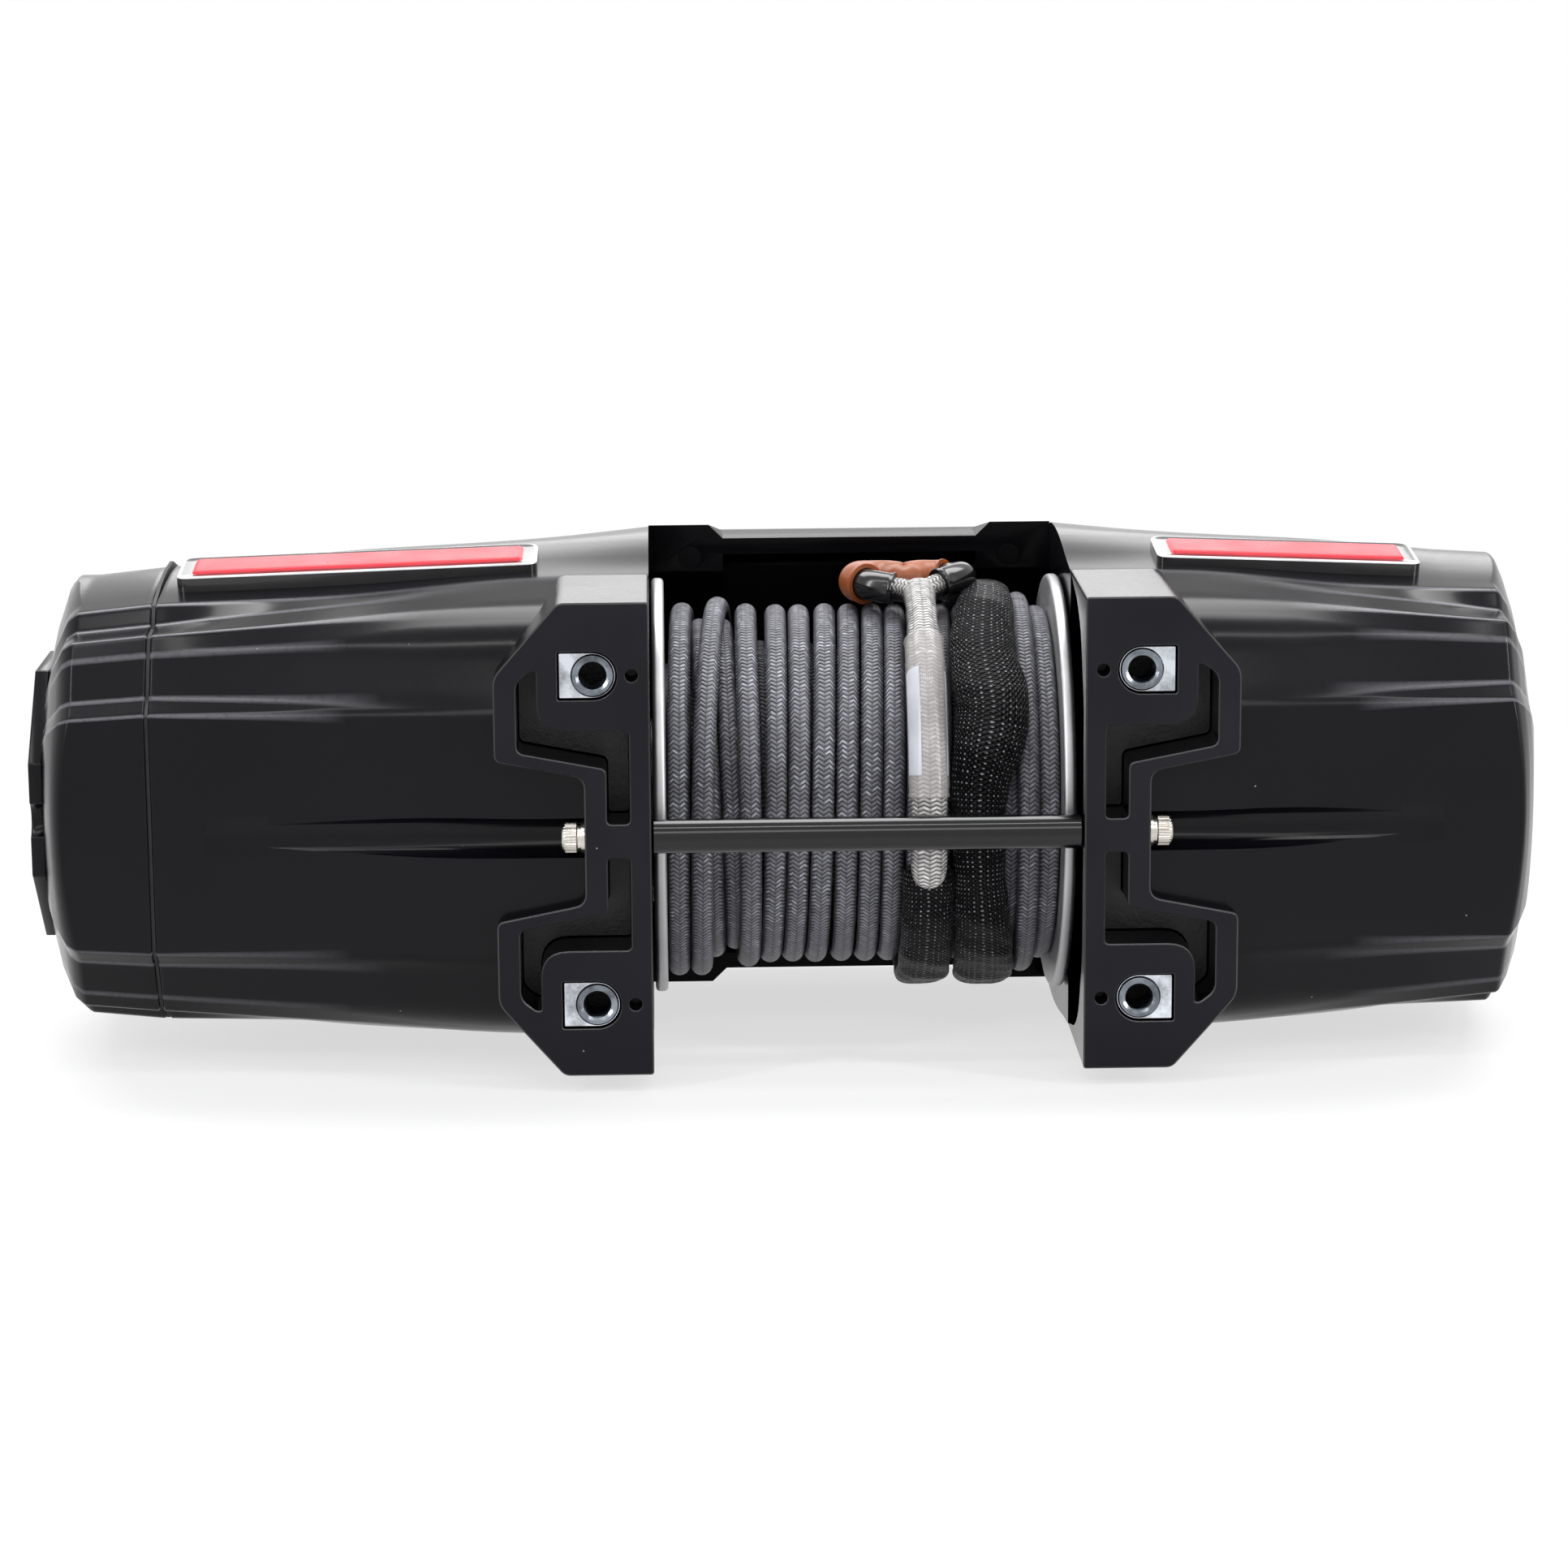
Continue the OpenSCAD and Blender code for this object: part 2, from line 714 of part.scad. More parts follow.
module end_cap_screws() {
    color(steel) gear_side() cap_screw_places() translate([cap_screw_seat_s, 0, 0])
        socket_screw(cap_screw_d, cap_screw_head_d, cap_screw_head_t, cap_screw_len - seat);
}

// Cover: lips over the drum's top and bottom and a web behind it
module cover_profile() {
    difference() {
        union() {
            translate([cover_front_y, -cover_half])
                square([cover_back_y - cover_corner_r - cover_front_y, cover_h]);
            translate([cover_front_y, -cover_half + cover_corner_r])
                square([cover_back_y - cover_front_y, cover_h - 2 * cover_corner_r]);
            for (side = [-1, 1])
                translate([cover_back_y - cover_corner_r, side * (cover_half - cover_corner_r)])
                    circle(r = cover_corner_r);
        }
        cover_hollow();
    }
}

module cover_hollow() {
    in_half = cover_half - cover_lip_t;
    in_r = cover_corner_r - cover_lip_t;
    back = cover_back_y - cover_web_t;
    translate([cover_front_y - over, -in_half]) square([back - in_r - cover_front_y + over, 2 * in_half]);
    translate([cover_front_y - over, -in_half + in_r])
        square([back - cover_front_y + over, 2 * (in_half - in_r)]);
    for (side = [-1, 1]) translate([back - in_r, side * (in_half - in_r)]) circle(r = in_r);
}

// Turns an outline drawn in (Y, Z) into a bar along X
module along_x(from, to) {
    translate([from, 0, 0]) rotate([90, 0, 90]) linear_extrude(height = to - from) children();
}

// Thick end of the cover, where it meets a housing
module bracket() {
    top = cover_half + bracket_rise;
    low = top - bracket_h;
    back = cover_back_y - cover_web_t;
    intersection() {
        along_x(bracket_in_s, inner_s) polygon([
            [cover_front_y, low], [cover_front_y, top], [cover_front_y + bracket_slope_y, cover_half],
            [back, cover_half - cover_corner_r], [back, low - bracket_web],
            [cover_front_y + bracket_web, low - bracket_web]
        ]);
        from_front(cover_front_y, cover_back_y - cover_front_y) polygon([
            [bracket_in_s, low - bracket_web], [inner_s, low - bracket_web], [inner_s, top],
            [bracket_top_in_s, top], [bracket_in_s, cover_half]
        ]);
    }
}

// Places of the round plugs in the brackets' front faces
module plug_places() {
    for (x = [-1, 1]) for (z = [-1, 1])
        translate([x * plug_s, cover_front_y, z * (cover_half + bracket_rise - plug_drop)])
            rotate([-90, 0, 0]) children();
}

module drum_cover() {
    color(black) {
        difference() {
            union() {
                along_x(-inner_s, inner_s) cover_profile();
                for (x = [0, 1]) for (z = [0, 1]) mirror([x, 0, 0]) mirror([0, 0, z]) bracket();
            }
            for (x = [0, 1]) for (z = [-1, 1]) mirror([x, 0, 0]) {
                bar_at(cover_seat_s - over, inner_s + over, cover_screw_d / 2 + run,
                    cover_screw_y, z * cover_screw_z);
                bar_at(bracket_in_s - over, cover_seat_s, cover_screw_head_d / 2 + cover_screw_play,
                    cover_screw_y, z * cover_screw_z);
            }
            plug_places() translate([0, 0, -over]) cylinder(d = plug_d + 2 * seat, h = plug_t + over);
        }
    }
}

module cover_screws() {
    color(stainless) for (x = [0, 1]) for (z = [-1, 1]) mirror([x, 0, 0])
        translate([cover_seat_s, cover_screw_y, z * cover_screw_z]) mirror([1, 0, 0])
            socket_screw(cover_screw_d, cover_screw_head_d, cover_screw_head_t,
                inner_s + cover_screw_grip - cover_seat_s);
}

module cover_plugs() {
    color(black) plug_places() translate([0, 0, -plug_proud])
        cylinder(d = plug_d, h = plug_t + plug_proud - seat);
}

module tie_rod() {
    color(black) difference() {
        bar_at(-inner_s, inner_s, rod_d / 2, rod_y, 0);
        for (x = [0, 1]) mirror([x, 0, 0])
            bar_at(inner_s - rod_screw_grip - over, inner_s + over, rod_screw_d / 2, rod_y, 0);
    }
}

module tie_rod_screws() {
    length = web_w + washer_t * 2 + rod_screw_grip;
    color(stainless) for (x = [0, 1]) mirror([x, 0, 0])
        translate([web_out_s + 2 * washer_t, rod_y, 0])
            socket_screw(rod_screw_d, rod_screw_head_d, rod_screw_head_t, length);
}

module tie_rod_washers() {
    color(stainless) for (x = [0, 1]) for (i = [0, 1]) mirror([x, 0, 0]) difference() {
        bar_at(web_out_s + i * washer_t, web_out_s + (i + 1) * washer_t,
            (washer_d - i * washer_t) / 2, rod_y, 0);
        bar_at(web_out_s - over, web_out_s + 2 * washer_t + over, rod_screw_d / 2 + run, rod_y, 0);
    }
}

module mount_nuts() {
    color(zinc) for (x = [0, 1]) for (z = [-1, 1]) mirror([x, 0, 0]) difference() {
        union() {
            from_front(nut_sink, nut_t) translate([0, z * nut_z]) nut_outline(0);
            translate([nut_s, nut_sink - nut_ring_t, z * nut_z]) rotate([-90, 0, 0])
                cylinder(d = nut_ring_d, h = nut_ring_t + nut_t / 2);
        }
        translate([nut_s, -over, z * nut_z]) rotate([-90, 0, 0])
            cylinder(d = nut_bore_d, h = nut_t + nut_sink + 2 * over);
    }
}

// Blank plate that lies on top of a housing and follows its slope
module blank_plate(centre_s, length, sections) {
    near = centre_s - length / 2;
    far = centre_s + length / 2;
    z_near = plate_height(near, sections);
    z_far = plate_height(far, sections);
    pitch = atan((z_near[0] - z_far[0]) / length);
    lean = atan((z_near[1] - z_near[0]) / plate_w);
    translate([near, plate_y, z_near[0] + plate_skin]) rotate([0, pitch, 0]) rotate([lean, 0, 0])
        translate([0, -plate_w / 2, 0]) cube([length / cos(pitch), plate_w, plate_t]);
}

// Heights of a housing's top at the plate's centre line and one width behind it
function plate_height(s, sections) = let(
    i = s < sections[1][0] ? 0 : s < sections[2][0] ? 1 : 2,
    t = (s - sections[i][0]) / (sections[i + 1][0] - sections[i][0])
) [for (j = [1, 2]) (1 - t) * sections[i][j] + t * sections[i + 1][j]];

// Top height of a section at distance y, between its seventh and tenth points
function top_at(y, y_shares, z_shares) = body_half * lookup(y / body_depth,
    [for (i = [6 : 9]) [y_shares[i], z_shares[i]]]);
function top_row(s, y_shares, z_shares) =
    [s, top_at(plate_y, y_shares, z_shares), top_at(plate_y + plate_w, y_shares, z_shares)];
function plate_sections(length, foot_share, mid_share) = [
    top_row(inner_s, root_y_shares, root_z_shares),
    top_row(station(foot_share, length), foot_y_shares, foot_z_shares),
    top_row(station(mid_share, length), mid_y_shares, mid_z_shares),
    top_row(inner_s + length, end_y_shares, end_z_shares)
];

module gear_side_plate() {
    color([0.5, 0.08, 0.08]) gear_side() blank_plate(gear_plate_s, gear_plate_len,
        plate_sections(gear_len, gear_foot_share, gear_mid_share));
}

module motor_side_plate() {
    color([0.5, 0.08, 0.08]) blank_plate(motor_plate_s, motor_plate_len,
        plate_sections(motor_len, motor_foot_share, motor_mid_share));
}

module drum_bushes() {
    color(bronze) for (x = [0, 1]) mirror([x, 0, 0])
        tube(inner_s + seal_t, inner_s + wall_t, bush_out_r, bush_in_r);
}

module drum_seals() {
    color([0.1, 0.1, 0.1]) for (x = [0, 1]) mirror([x, 0, 0])
        tube(inner_s, inner_s + seal_t - seat, bush_out_r, bush_in_r);
}

// Gear teeth: an involute of the base circle, with straight feet below it
function involute(r, base_r) = r <= base_r ? 0 :
    let(t = sqrt(pow(r / base_r, 2) - 1)) t * 180 / PI - atan(t);
function half_tooth(r, teeth, thin) = let(
    pitch_r = tooth_module * teeth / 2,
    base_r = pitch_r * cos(pressure_angle)
) 90 / teeth - thin * tooth_module / pitch_r * 180 / PI
    + involute(pitch_r, base_r) - involute(r, base_r);
function gear_points(teeth, low_r, high_r, thin) = let(
    pitch_r = tooth_module * teeth / 2,
    base_r = pitch_r * cos(pressure_angle),
    radii = [low_r, max(base_r, low_r + (pitch_r - low_r) / 3), pitch_r, high_r]
) [for (i = [0 : teeth - 1]) for (side = [-1, 1]) for (j = [0 : 3]) let(
    r = radii[side < 0 ? j : 3 - j],
    a = 360 * i / teeth + side * half_tooth(r, teeth, thin)
) [r * cos(a), r * sin(a)]];
module gear_outline(teeth) {
    pitch_r = tooth_module * teeth / 2;
    polygon(gear_points(teeth, pitch_r - dedendum_share * tooth_module,
        pitch_r + addendum_share * tooth_module, thinning_share));
}
module ring_outline() {
    pitch_r = tooth_module * ring_teeth / 2;
    difference() {
        circle(r = ring_out_r);
        polygon(gear_points(ring_teeth, pitch_r - addendum_share * tooth_module,
            pitch_r + dedendum_share * tooth_module, -thinning_share));
    }
}

// Extrudes a gear's outline along the drum axis on the gear side. The outline's X
// axis points away from the mounting face, and its Y axis up.
module gear_bar(from, to) {
    gear_side() translate([from, axis_y, 0]) rotate([90, 0, 90]) linear_extrude(height = to - from)
        children();
}

module ring_gear() {
    color(steel) gear_bar(ring_start_s, ring_end_s) ring_outline();
}

module lock_pin_places() {
    lock_ring_r = (ring_out_r + tooth_module * (ring_teeth / 2 + dedendum_share)) / 2;
    for (i = [0 : lock_pins - 1]) rotate([360 * i / lock_pins, 0, 0])
        translate([0, lock_ring_r, 0]) rotate([0, 90, 0]) children();
}

module clutch_ring_gear() {
    color(steel) difference() {
        gear_bar(clutch_ring_s, clutch_ring_end_s) ring_outline();
        gear_side() translate([clutch_ring_end_s - lock_pin_in - lock_play, axis_y, 0]) lock_pin_places()
            cylinder(r = lock_pin_r + run, h = lock_pin_in + lock_play + over);
    }
}

module sun(from, to, journal_to) {
    color(steel) {
        difference() {
            union() {
                gear_bar(from, to) rotate(180 / sun_teeth) gear_outline(sun_teeth);
                gear_side() bar(from, journal_to, sun_hub_r - seat);
            }
            gear_side() bar(from - over, journal_to + over, shaft_r + shaft_gap);
        }
    }
}

// A planet that stands on its carrier's pin, turned so that it meshes with the ring
module planet(from, to, turn) {
    own_turn = turn - turn * ring_teeth / planet_teeth;
    color(steel) gear_bar(from, to) translate([centre_dist * cos(turn), centre_dist * sin(turn)])
        rotate(own_turn) difference() {
            gear_outline(planet_teeth);
            circle(r = pin_r + run);
        }
}

module carrier(plate_s, plate_t, pin_end_s, hub_r) {
    color(steel) gear_side() difference() {
        union() {
            bar(plate_s, plate_s + plate_t, carrier_r);
            for (turn = planet_turns) bar_at(plate_s, pin_end_s, pin_r,
                axis_y + centre_dist * cos(turn), centre_dist * sin(turn));
        }
        bar(plate_s - over, plate_s + plate_t + over, hub_r);
    }
}

module output_carrier() {
    color(steel) union() {
        carrier(third_plate_s, third_plate_t, third_s + third_stage_w, shaft_r + shaft_gap);
        gear_side() tube(third_plate_s - spline_len, third_plate_s, spline_r, shaft_r + shaft_gap);
    }
}

module third_planet_a() { planet(third_s, third_s + third_stage_w - end_play, planet_turns[0]); }
module third_planet_b() { planet(third_s, third_s + third_stage_w - end_play, planet_turns[1]); }
module third_planet_c() { planet(third_s, third_s + third_stage_w - end_play, planet_turns[2]); }
module third_sun() { sun(third_s, second_plate_s - seat, second_plate_s + second_plate_t); }
module second_carrier() {
    carrier(second_plate_s, second_plate_t, second_s + second_stage_w, sun_hub_r);
}
module second_planet_a() { planet(second_s, second_s + second_stage_w - end_play, planet_turns[0]); }
module second_planet_b() { planet(second_s, second_s + second_stage_w - end_play, planet_turns[1]); }
module second_planet_c() { planet(second_s, second_s + second_stage_w - end_play, planet_turns[2]); }
module second_sun() { sun(second_s, first_plate_s - seat, first_plate_s + first_plate_t); }
module first_carrier() {
    carrier(first_plate_s, first_plate_t, first_s + first_stage_w, sun_hub_r);
}
module first_planet_a() { planet(first_s, first_s + first_stage_w - end_play, planet_turns[0]); }
module first_planet_b() { planet(first_s, first_s + first_stage_w - end_play, planet_turns[1]); }
module first_planet_c() { planet(first_s, first_s + first_stage_w - end_play, planet_turns[2]); }

module first_sun() {
    color(steel) difference() {
        gear_bar(first_s, first_end_s) rotate(180 / sun_teeth) gear_outline(sun_teeth);
        gear_side() bar(first_s - over, first_end_s + over, shaft_r + seat);
    }
}

module drive_shaft() {
    socket_s = motor_shaft_in_s;
    color(steel) difference() {
        union() {
            bar(-first_end_s - end_play, socket_s, shaft_r);
            bar(socket_s + end_play - coupling_len, socket_s + coupling_len / 2, coupling_r);
        }
        bar(socket_s, socket_s + coupling_len, motor_shaft_r + seat);
    }
}

// Two keys on the clutch's locking plate, which slide in keyways of the housing
module lock_keys(from, to, play) {
    half = key_w / 2 + play;
    reach = cavity_r + key_h + play;
    translate([from, axis_y - half, -reach]) cube([to - from, 2 * half, 2 * reach]);
}

module clutch_lock() {
    color(steel) gear_side() {
        difference() {
            union() {
                bar(lock_s, lock_s + lock_plate_t, lock_disc_r);
                bar(lock_s, lock_s + lock_plate_t + lock_hub_len, lock_hub_r);
                lock_keys(lock_s, lock_s + lock_plate_t, 0);
                translate([lock_s - lock_pin_in, axis_y, 0]) lock_pin_places()
                    cylinder(r = lock_pin_r, h = lock_pin_in + over);
            }
            bar(lock_s - over, lock_s + lock_plate_t + lock_hub_len + over, dial_stem_r + run);
        }
    }
}

module clutch_dial() {
    floor_s = dial_face_s - dial_sink + 2 * end_play;
    color(machined) gear_side() {
        difference() {
            union() {
                translate([dial_face_s, axis_y, 0]) rotate([180 / dial_sides, 0, 0]) rotate([0, 90, 0])
                    cylinder(d = dial_across / cos(180 / dial_sides), h = dial_t, $fn = dial_sides);
                bar(floor_s - end_play, dial_face_s + over, dial_disc_r);
            }
            difference() {
                bar(floor_s + dial_sink / 3, dial_face_s + dial_t + over, dial_pocket_r);
                translate([floor_s, axis_y - dial_across, -dial_grip_w / 2])
                    cube([dial_t * 4, 2 * dial_across, dial_grip_w]);
            }
            bar_at(dial_face_s - over, dial_face_s + dial_t + over, dial_notch_r,
                axis_y - dial_across / 2 - dial_notch_r / 2, 0);
        }
        bar(lock_s + lock_plate_t + over, floor_s, dial_stem_r);
    }
}

module drum() {
    color(alloy) difference() {
        union() {
            bar(-flange_in_s, flange_in_s, barrel_d / 2);
            for (x = [0, 1]) mirror([x, 0, 0]) {
                bar(flange_in_s, flange_out_s, flange_d / 2);
                bar(flange_in_s, journal_end_s, journal_d / 2);
            }
        }
        bar(-journal_end_s - over, journal_end_s + over, drum_bore_r);
        translate([anchor_x, axis_y, 0]) rotate([-90, 0, 0]) cylinder(r = anchor_r + run, h = barrel_d);
    }
}

module rope_anchor_screw() {
    color(steel) translate([anchor_x, axis_y + anchor_in_r, 0]) rotate([-90, 0, 0]) difference() {
        cylinder(r = anchor_r, h = barrel_d / 2 - anchor_in_r - seat);
        translate([0, 0, barrel_d / 2 - anchor_in_r - anchor_r])
            cylinder(r = anchor_r / 2, h = anchor_r, $fn = 6);
    }
}

// A point beside the drum: distance r from the axis, turned up from the front centre
function at_drum(x, r, turn) = [x, axis_y - r * cos(turn), r * sin(turn)];

// Ring of a tube's cross-section round p, spanned by unit vectors a and b
function tube_ring(p, a, b, r, sides) =
    [for (i = [0 : sides - 1]) p + r * (cos(360 * i / sides) * a + sin(360 * i / sides) * b)];
function out_of(turn) = [0, -cos(turn), sin(turn)];
function round_of(turn) = [0, sin(turn), cos(turn)];
x_unit = [1, 0, 0];

// Outer layer of the rope: bends down into the core at both ends
rope_end_turn = rope_start_turn + 360 * rope_loops;
wrap_rings = ceil(rope_loops * rings_per_loop);
function wrap_x(turn) = rope_first_x + rope_pitch * (turn - rope_start_turn) / 360;
function wrap_ring(turn) = tube_ring(at_drum(wrap_x(turn), layer_r, turn), out_of(turn), x_unit,
    rope_r, rope_sides);
// One ring of an end bend; dir is 1 at the last end and -1 at the first
function bend_ring(turn, dir, swing, straight) = let(
    base = at_drum(wrap_x(turn), layer_r, turn),
    along = dir * round_of(turn),
    inward = -out_of(turn),
    p = base + bend_r * (sin(swing) * along + (1 - cos(swing)) * inward) + straight * inward,
    side = cos(swing) * out_of(turn) + sin(swing) * along
) tube_ring(p, side, x_unit, rope_r, rope_sides);
function wrap_rings_list() = concat(
    [bend_ring(rope_start_turn, -1, 90, rope_d)],
    [for (i = [bend_steps : -1 : 1]) bend_ring(rope_start_turn, -1, 90 * i / bend_steps, 0)],
    [for (i = [0 : wrap_rings]) wrap_ring(rope_start_turn + 360 * rope_loops * i / wrap_rings)],
    [for (i = [1 : bend_steps]) bend_ring(rope_end_turn, 1, 90 * i / bend_steps, 0)],
    [bend_ring(rope_end_turn, 1, 90, rope_d)]
);
module rope_wraps() {
    color(rope_grey) loft([for (ring = wrap_rings_list()) [for (i = [rope_sides - 1 : -1 : 0]) ring[i]]]);
}

// Least gap between neighbouring loops, measured between points of their surfaces
function point_gap(a, b) = min([for (p = a) for (q = b) norm(p - q)]);
wrap_gap = min([for (i = [0 : 3]) let(turn = rope_start_turn + 90 * i)
    point_gap(wrap_ring(turn), wrap_ring(turn + 360))]);
echo(least_gap_between_rope_loops = wrap_gap);

// Pocket in the core for an end of the outer layer
module rope_socket(turn, dir) {
    deep = bend_r + rope_d;
    long = bend_r + rope_r + socket_play;
    translate([wrap_x(turn), axis_y, 0]) rotate([180 - turn, 0, 0])
        translate([-rope_r - socket_play, layer_r - deep, dir > 0 ? -long : -rope_r])
            cube([rope_d + 2 * socket_play, deep + over, long + rope_r]);
}

module rope_core() {
    color(rope_grey) difference() {
        tube(-flange_in_s + seat, flange_in_s - seat, core_r, barrel_d / 2 + seat);
        rope_socket(rope_start_turn, -1);
        rope_socket(rope_end_turn, 1);
    }
}

// Woven sleeve: a soft flat tube that winds over the outer layer
function sleeve_ring(turn) = let(
    x = lookup(turn, sleeve_route),
    n = len(sleeve_outline_shares)
) [for (i = [n - 1 : -1 : 0]) at_drum(x + sleeve_w * sleeve_outline_shares[i][0],
    sleeve_base_r + sleeve_t * sleeve_outline_shares[i][1], turn)];
sleeve_rings = ceil(sleeve_turns * rings_per_loop);
module rope_sleeve() {
    color([0.07, 0.07, 0.08]) loft([for (i = [sleeve_rings : -1 : 0])
        sleeve_ring(sleeve_start_turn - 360 * sleeve_turns * i / sleeve_rings)]);
}

// Doubled rope from the sleeve up to the fork
splice_turn_step = (splice_high_turn - splice_low_turn) / splice_steps;
function splice_ring(turn, r, sides) =
    tube_ring(at_drum(splice_x, splice_path_r, turn), x_unit, out_of(turn), r, sides);

// The eye: a closed drop shape that lies on the drum, from the fork round and back
function eye_point(t) = let(
    a = 360 * t,
    x = splice_x - eye_lean * (1 - cos(a)) / 2 - eye_half_w * sin(a) * pow(sin(a / 2), eye_shape),
    arc = eye_arc * (1 - cos(a)) / 2,
    turn = splice_high_turn + arc / eye_path_r * 180 / PI
) at_drum(x, eye_path_r, turn);
function eye_out(t) = let(
    arc = eye_arc * (1 - cos(360 * t)) / 2,
    turn = splice_high_turn + arc / eye_path_r * 180 / PI
) out_of(turn);
function eye_along(t) = let(v = eye_point(t + eye_step) - eye_point(t - eye_step)) v / norm(v);
function eye_ring(t, r) = let(out = eye_out(t), side = cross(eye_along(t), out))
    tube_ring(eye_point(t), side / norm(side), out, r, thimble_sides);
function eye_rings(from, to, r, steps) =
    [for (i = [0 : steps]) eye_ring(from + (to - from) * i / steps, r)];
module eye_tube(from, to, r, steps) {
    loft(eye_rings(from, to, r, steps));
}

module rope_splice() {
    color(rope_grey * 1.3) {
        loft([for (i = [0 : splice_steps])
            splice_ring(splice_low_turn + splice_turn_step * i, splice_r, thimble_sides)]);
        for (side = [0, 1]) leg(side);
    }
}

// One strand from the fork to the thimble's tube
module leg(side) {
    from = side == 0 ? eye_step : 1 - eye_step;
    to = side == 0 ? tube_start_share : 1 - tube_start_share;
    eye_tube(min(from, to), max(from, to), rope_r, leg_steps);
}

// Clear tube shrunk over the splice
module heat_shrink() {
    color([0.8, 0.8, 0.8, 0.5]) difference() {
        shrink_tube(splice_r + shrink_t, 0);
        shrink_tube(splice_r + shrink_gap, splice_turn_step / 4);
    }
}
module shrink_tube(r, extra) {
    low = shrink_low_turn - extra;
    high = shrink_high_turn + extra;
    loft([for (i = [0 : shrink_steps])
        splice_ring(low + (high - low) * i / shrink_steps, r, thimble_sides)]);
}

module thimble_tube() {
    color([0.03, 0.03, 0.03]) eye_tube(tube_start_share + eye_step, 1 - tube_start_share - eye_step,
        thimble_d / 2, eye_steps);
}

module thimble_sleeve() {
    color(amber) difference() {
        eye_tube(sleeve_start_share, 1 - sleeve_start_share, eye_sleeve_d / 2, eye_steps);
        eye_tube(sleeve_start_share - eye_step, 1 - sleeve_start_share + eye_step,
            thimble_d / 2 + run, eye_steps);
    }
}

module motor_end_plate() {
    color(alloy) difference() {
        union() {
            bar(inner_s, can_s - seat, cavity_r - seat);
            bar(inner_s, front_bearing_s + bearing_w, bearing_boss_r + wall_t);
            bar(inner_s, can_s + end_plate_spigot, can_in_r - seat);
        }
        bar(inner_s - over, inner_s + wall_t, bush_out_r + seat);
        bar(inner_s, front_bearing_s, journal_d / 2 + end_play);
        bar(inner_s, front_bearing_s + bearing_w + over, bearing_r + seat);
    }
}

module motor_can() {
    color(steel) tube(can_s, can_s + can_len, can_r, can_in_r);
}

module magnets() {
    r_out = can_in_r - seat;
    color([0.2, 0.2, 0.22]) for (turn = [0, 90, 180, 270])
        translate([magnet_s, axis_y, 0]) rotate([turn, 0, 0]) rotate([0, 90, 0])
            linear_extrude(height = magnet_len) difference() {
                intersection() {
                    circle(r = r_out);
                    polygon([[0, 0], [2 * r_out * cos(magnet_arc / 2), 2 * r_out * sin(magnet_arc / 2)],
                        [2 * r_out * cos(magnet_arc / 2), -2 * r_out * sin(magnet_arc / 2)]]);
                }
                circle(r = r_out - magnet_t);
            }
}

module armature_core() {
    color(steel) difference() {
        tube(core_s, core_s + armature_len, armature_r, motor_shaft_r + seat);
        for (i = [0 : slot_count - 1]) translate([core_s - over, axis_y, 0])
            rotate([360 * i / slot_count, 0, 0])
            translate([0, -slot_w / 2, armature_r - slot_deep])
                cube([armature_len + 2 * over, slot_w, slot_deep + over]);
    }
}

module armature_windings() {
    color(copper) {
        tube(core_s - winding_w, core_s - seat, winding_r, winding_in_r);
        tube(core_s + armature_len + seat, core_s + armature_len + winding_w, winding_r, winding_in_r);
        for (i = [0 : slot_count - 1]) translate([core_s - seat * 2, axis_y, 0])
            rotate([360 * i / slot_count, 0, 0])
                translate([0, -slot_w / 2 + run, armature_r - slot_deep + run])
                    cube([armature_len + 4 * seat, slot_w - 2 * run,
                        winding_r - armature_r + slot_deep - 2 * run]);
    }
}

module commutator() {
    color(copper) difference() {
        tube(commutator_s, commutator_s + commutator_w, commutator_r, motor_shaft_r + seat);
        for (i = [0 : bar_count - 1]) translate([commutator_s + over, axis_y, 0])
            rotate([360 * i / bar_count, 0, 0])
                translate([0, -bar_gap / 2, commutator_r - bar_gap]) cube([commutator_w, bar_gap, bar_gap + over]);
    }
}

module motor_shaft() {
    color(steel) bar(motor_shaft_in_s, rear_bearing_s + bearing_w - end_play, motor_shaft_r);
}

module brush_places() {
    for (turn = brush_turns) translate([commutator_s + commutator_w / 2, axis_y, 0]) rotate([turn, 0, 0])
        children();
}

module brush_plate() {
    box_low = commutator_r + brush_box_gap;
    box_len = brush_len + brush_spring_len;
    box_x = brush_w / 2 + brush_wall;
    color(bronze) difference() {
        union() {
            tube(brush_plate_s, brush_plate_s + brush_plate_t, can_in_r - seat, motor_shaft_r * 2);
            brush_places() translate([-box_x, -brush_h / 2 - brush_wall, box_low])
                cube([brush_plate_gap + commutator_w / 2 + box_x + seat, brush_h + 2 * brush_wall, box_len]);
        }
        brush_places() translate([-brush_w / 2 - run, -brush_h / 2 - run, box_low - over])
            cube([brush_w + 2 * run, brush_h + 2 * run, box_len + over - brush_wall]);
    }
}

module brushes() {
    color([0.12, 0.12, 0.12]) brush_places()
        translate([-brush_w / 2, -brush_h / 2, commutator_r + brush_gap]) cube([brush_w, brush_h, brush_len]);
}

module brush_springs() {
    low = commutator_r + brush_gap + brush_len + seat;
    color(steel) brush_places() translate([0, 0, low]) difference() {
        cylinder(r = brush_spring_r, h = brush_box_gap + brush_spring_len - brush_gap - brush_wall - 2 * seat);
        translate([0, 0, -over]) cylinder(r = brush_spring_r / 2, h = brush_spring_len * 2);
    }
}

module motor_bearings() {
    color(stainless) for (s = [front_bearing_s, rear_bearing_s])
        tube(s, s + bearing_w - seat, bearing_r, motor_shaft_r + run);
}

module terminal_places() {
    for (side = [-1, 1]) translate([stud_s, pad_y, side * stud_z]) rotate([-90, 0, 0]) children();
}

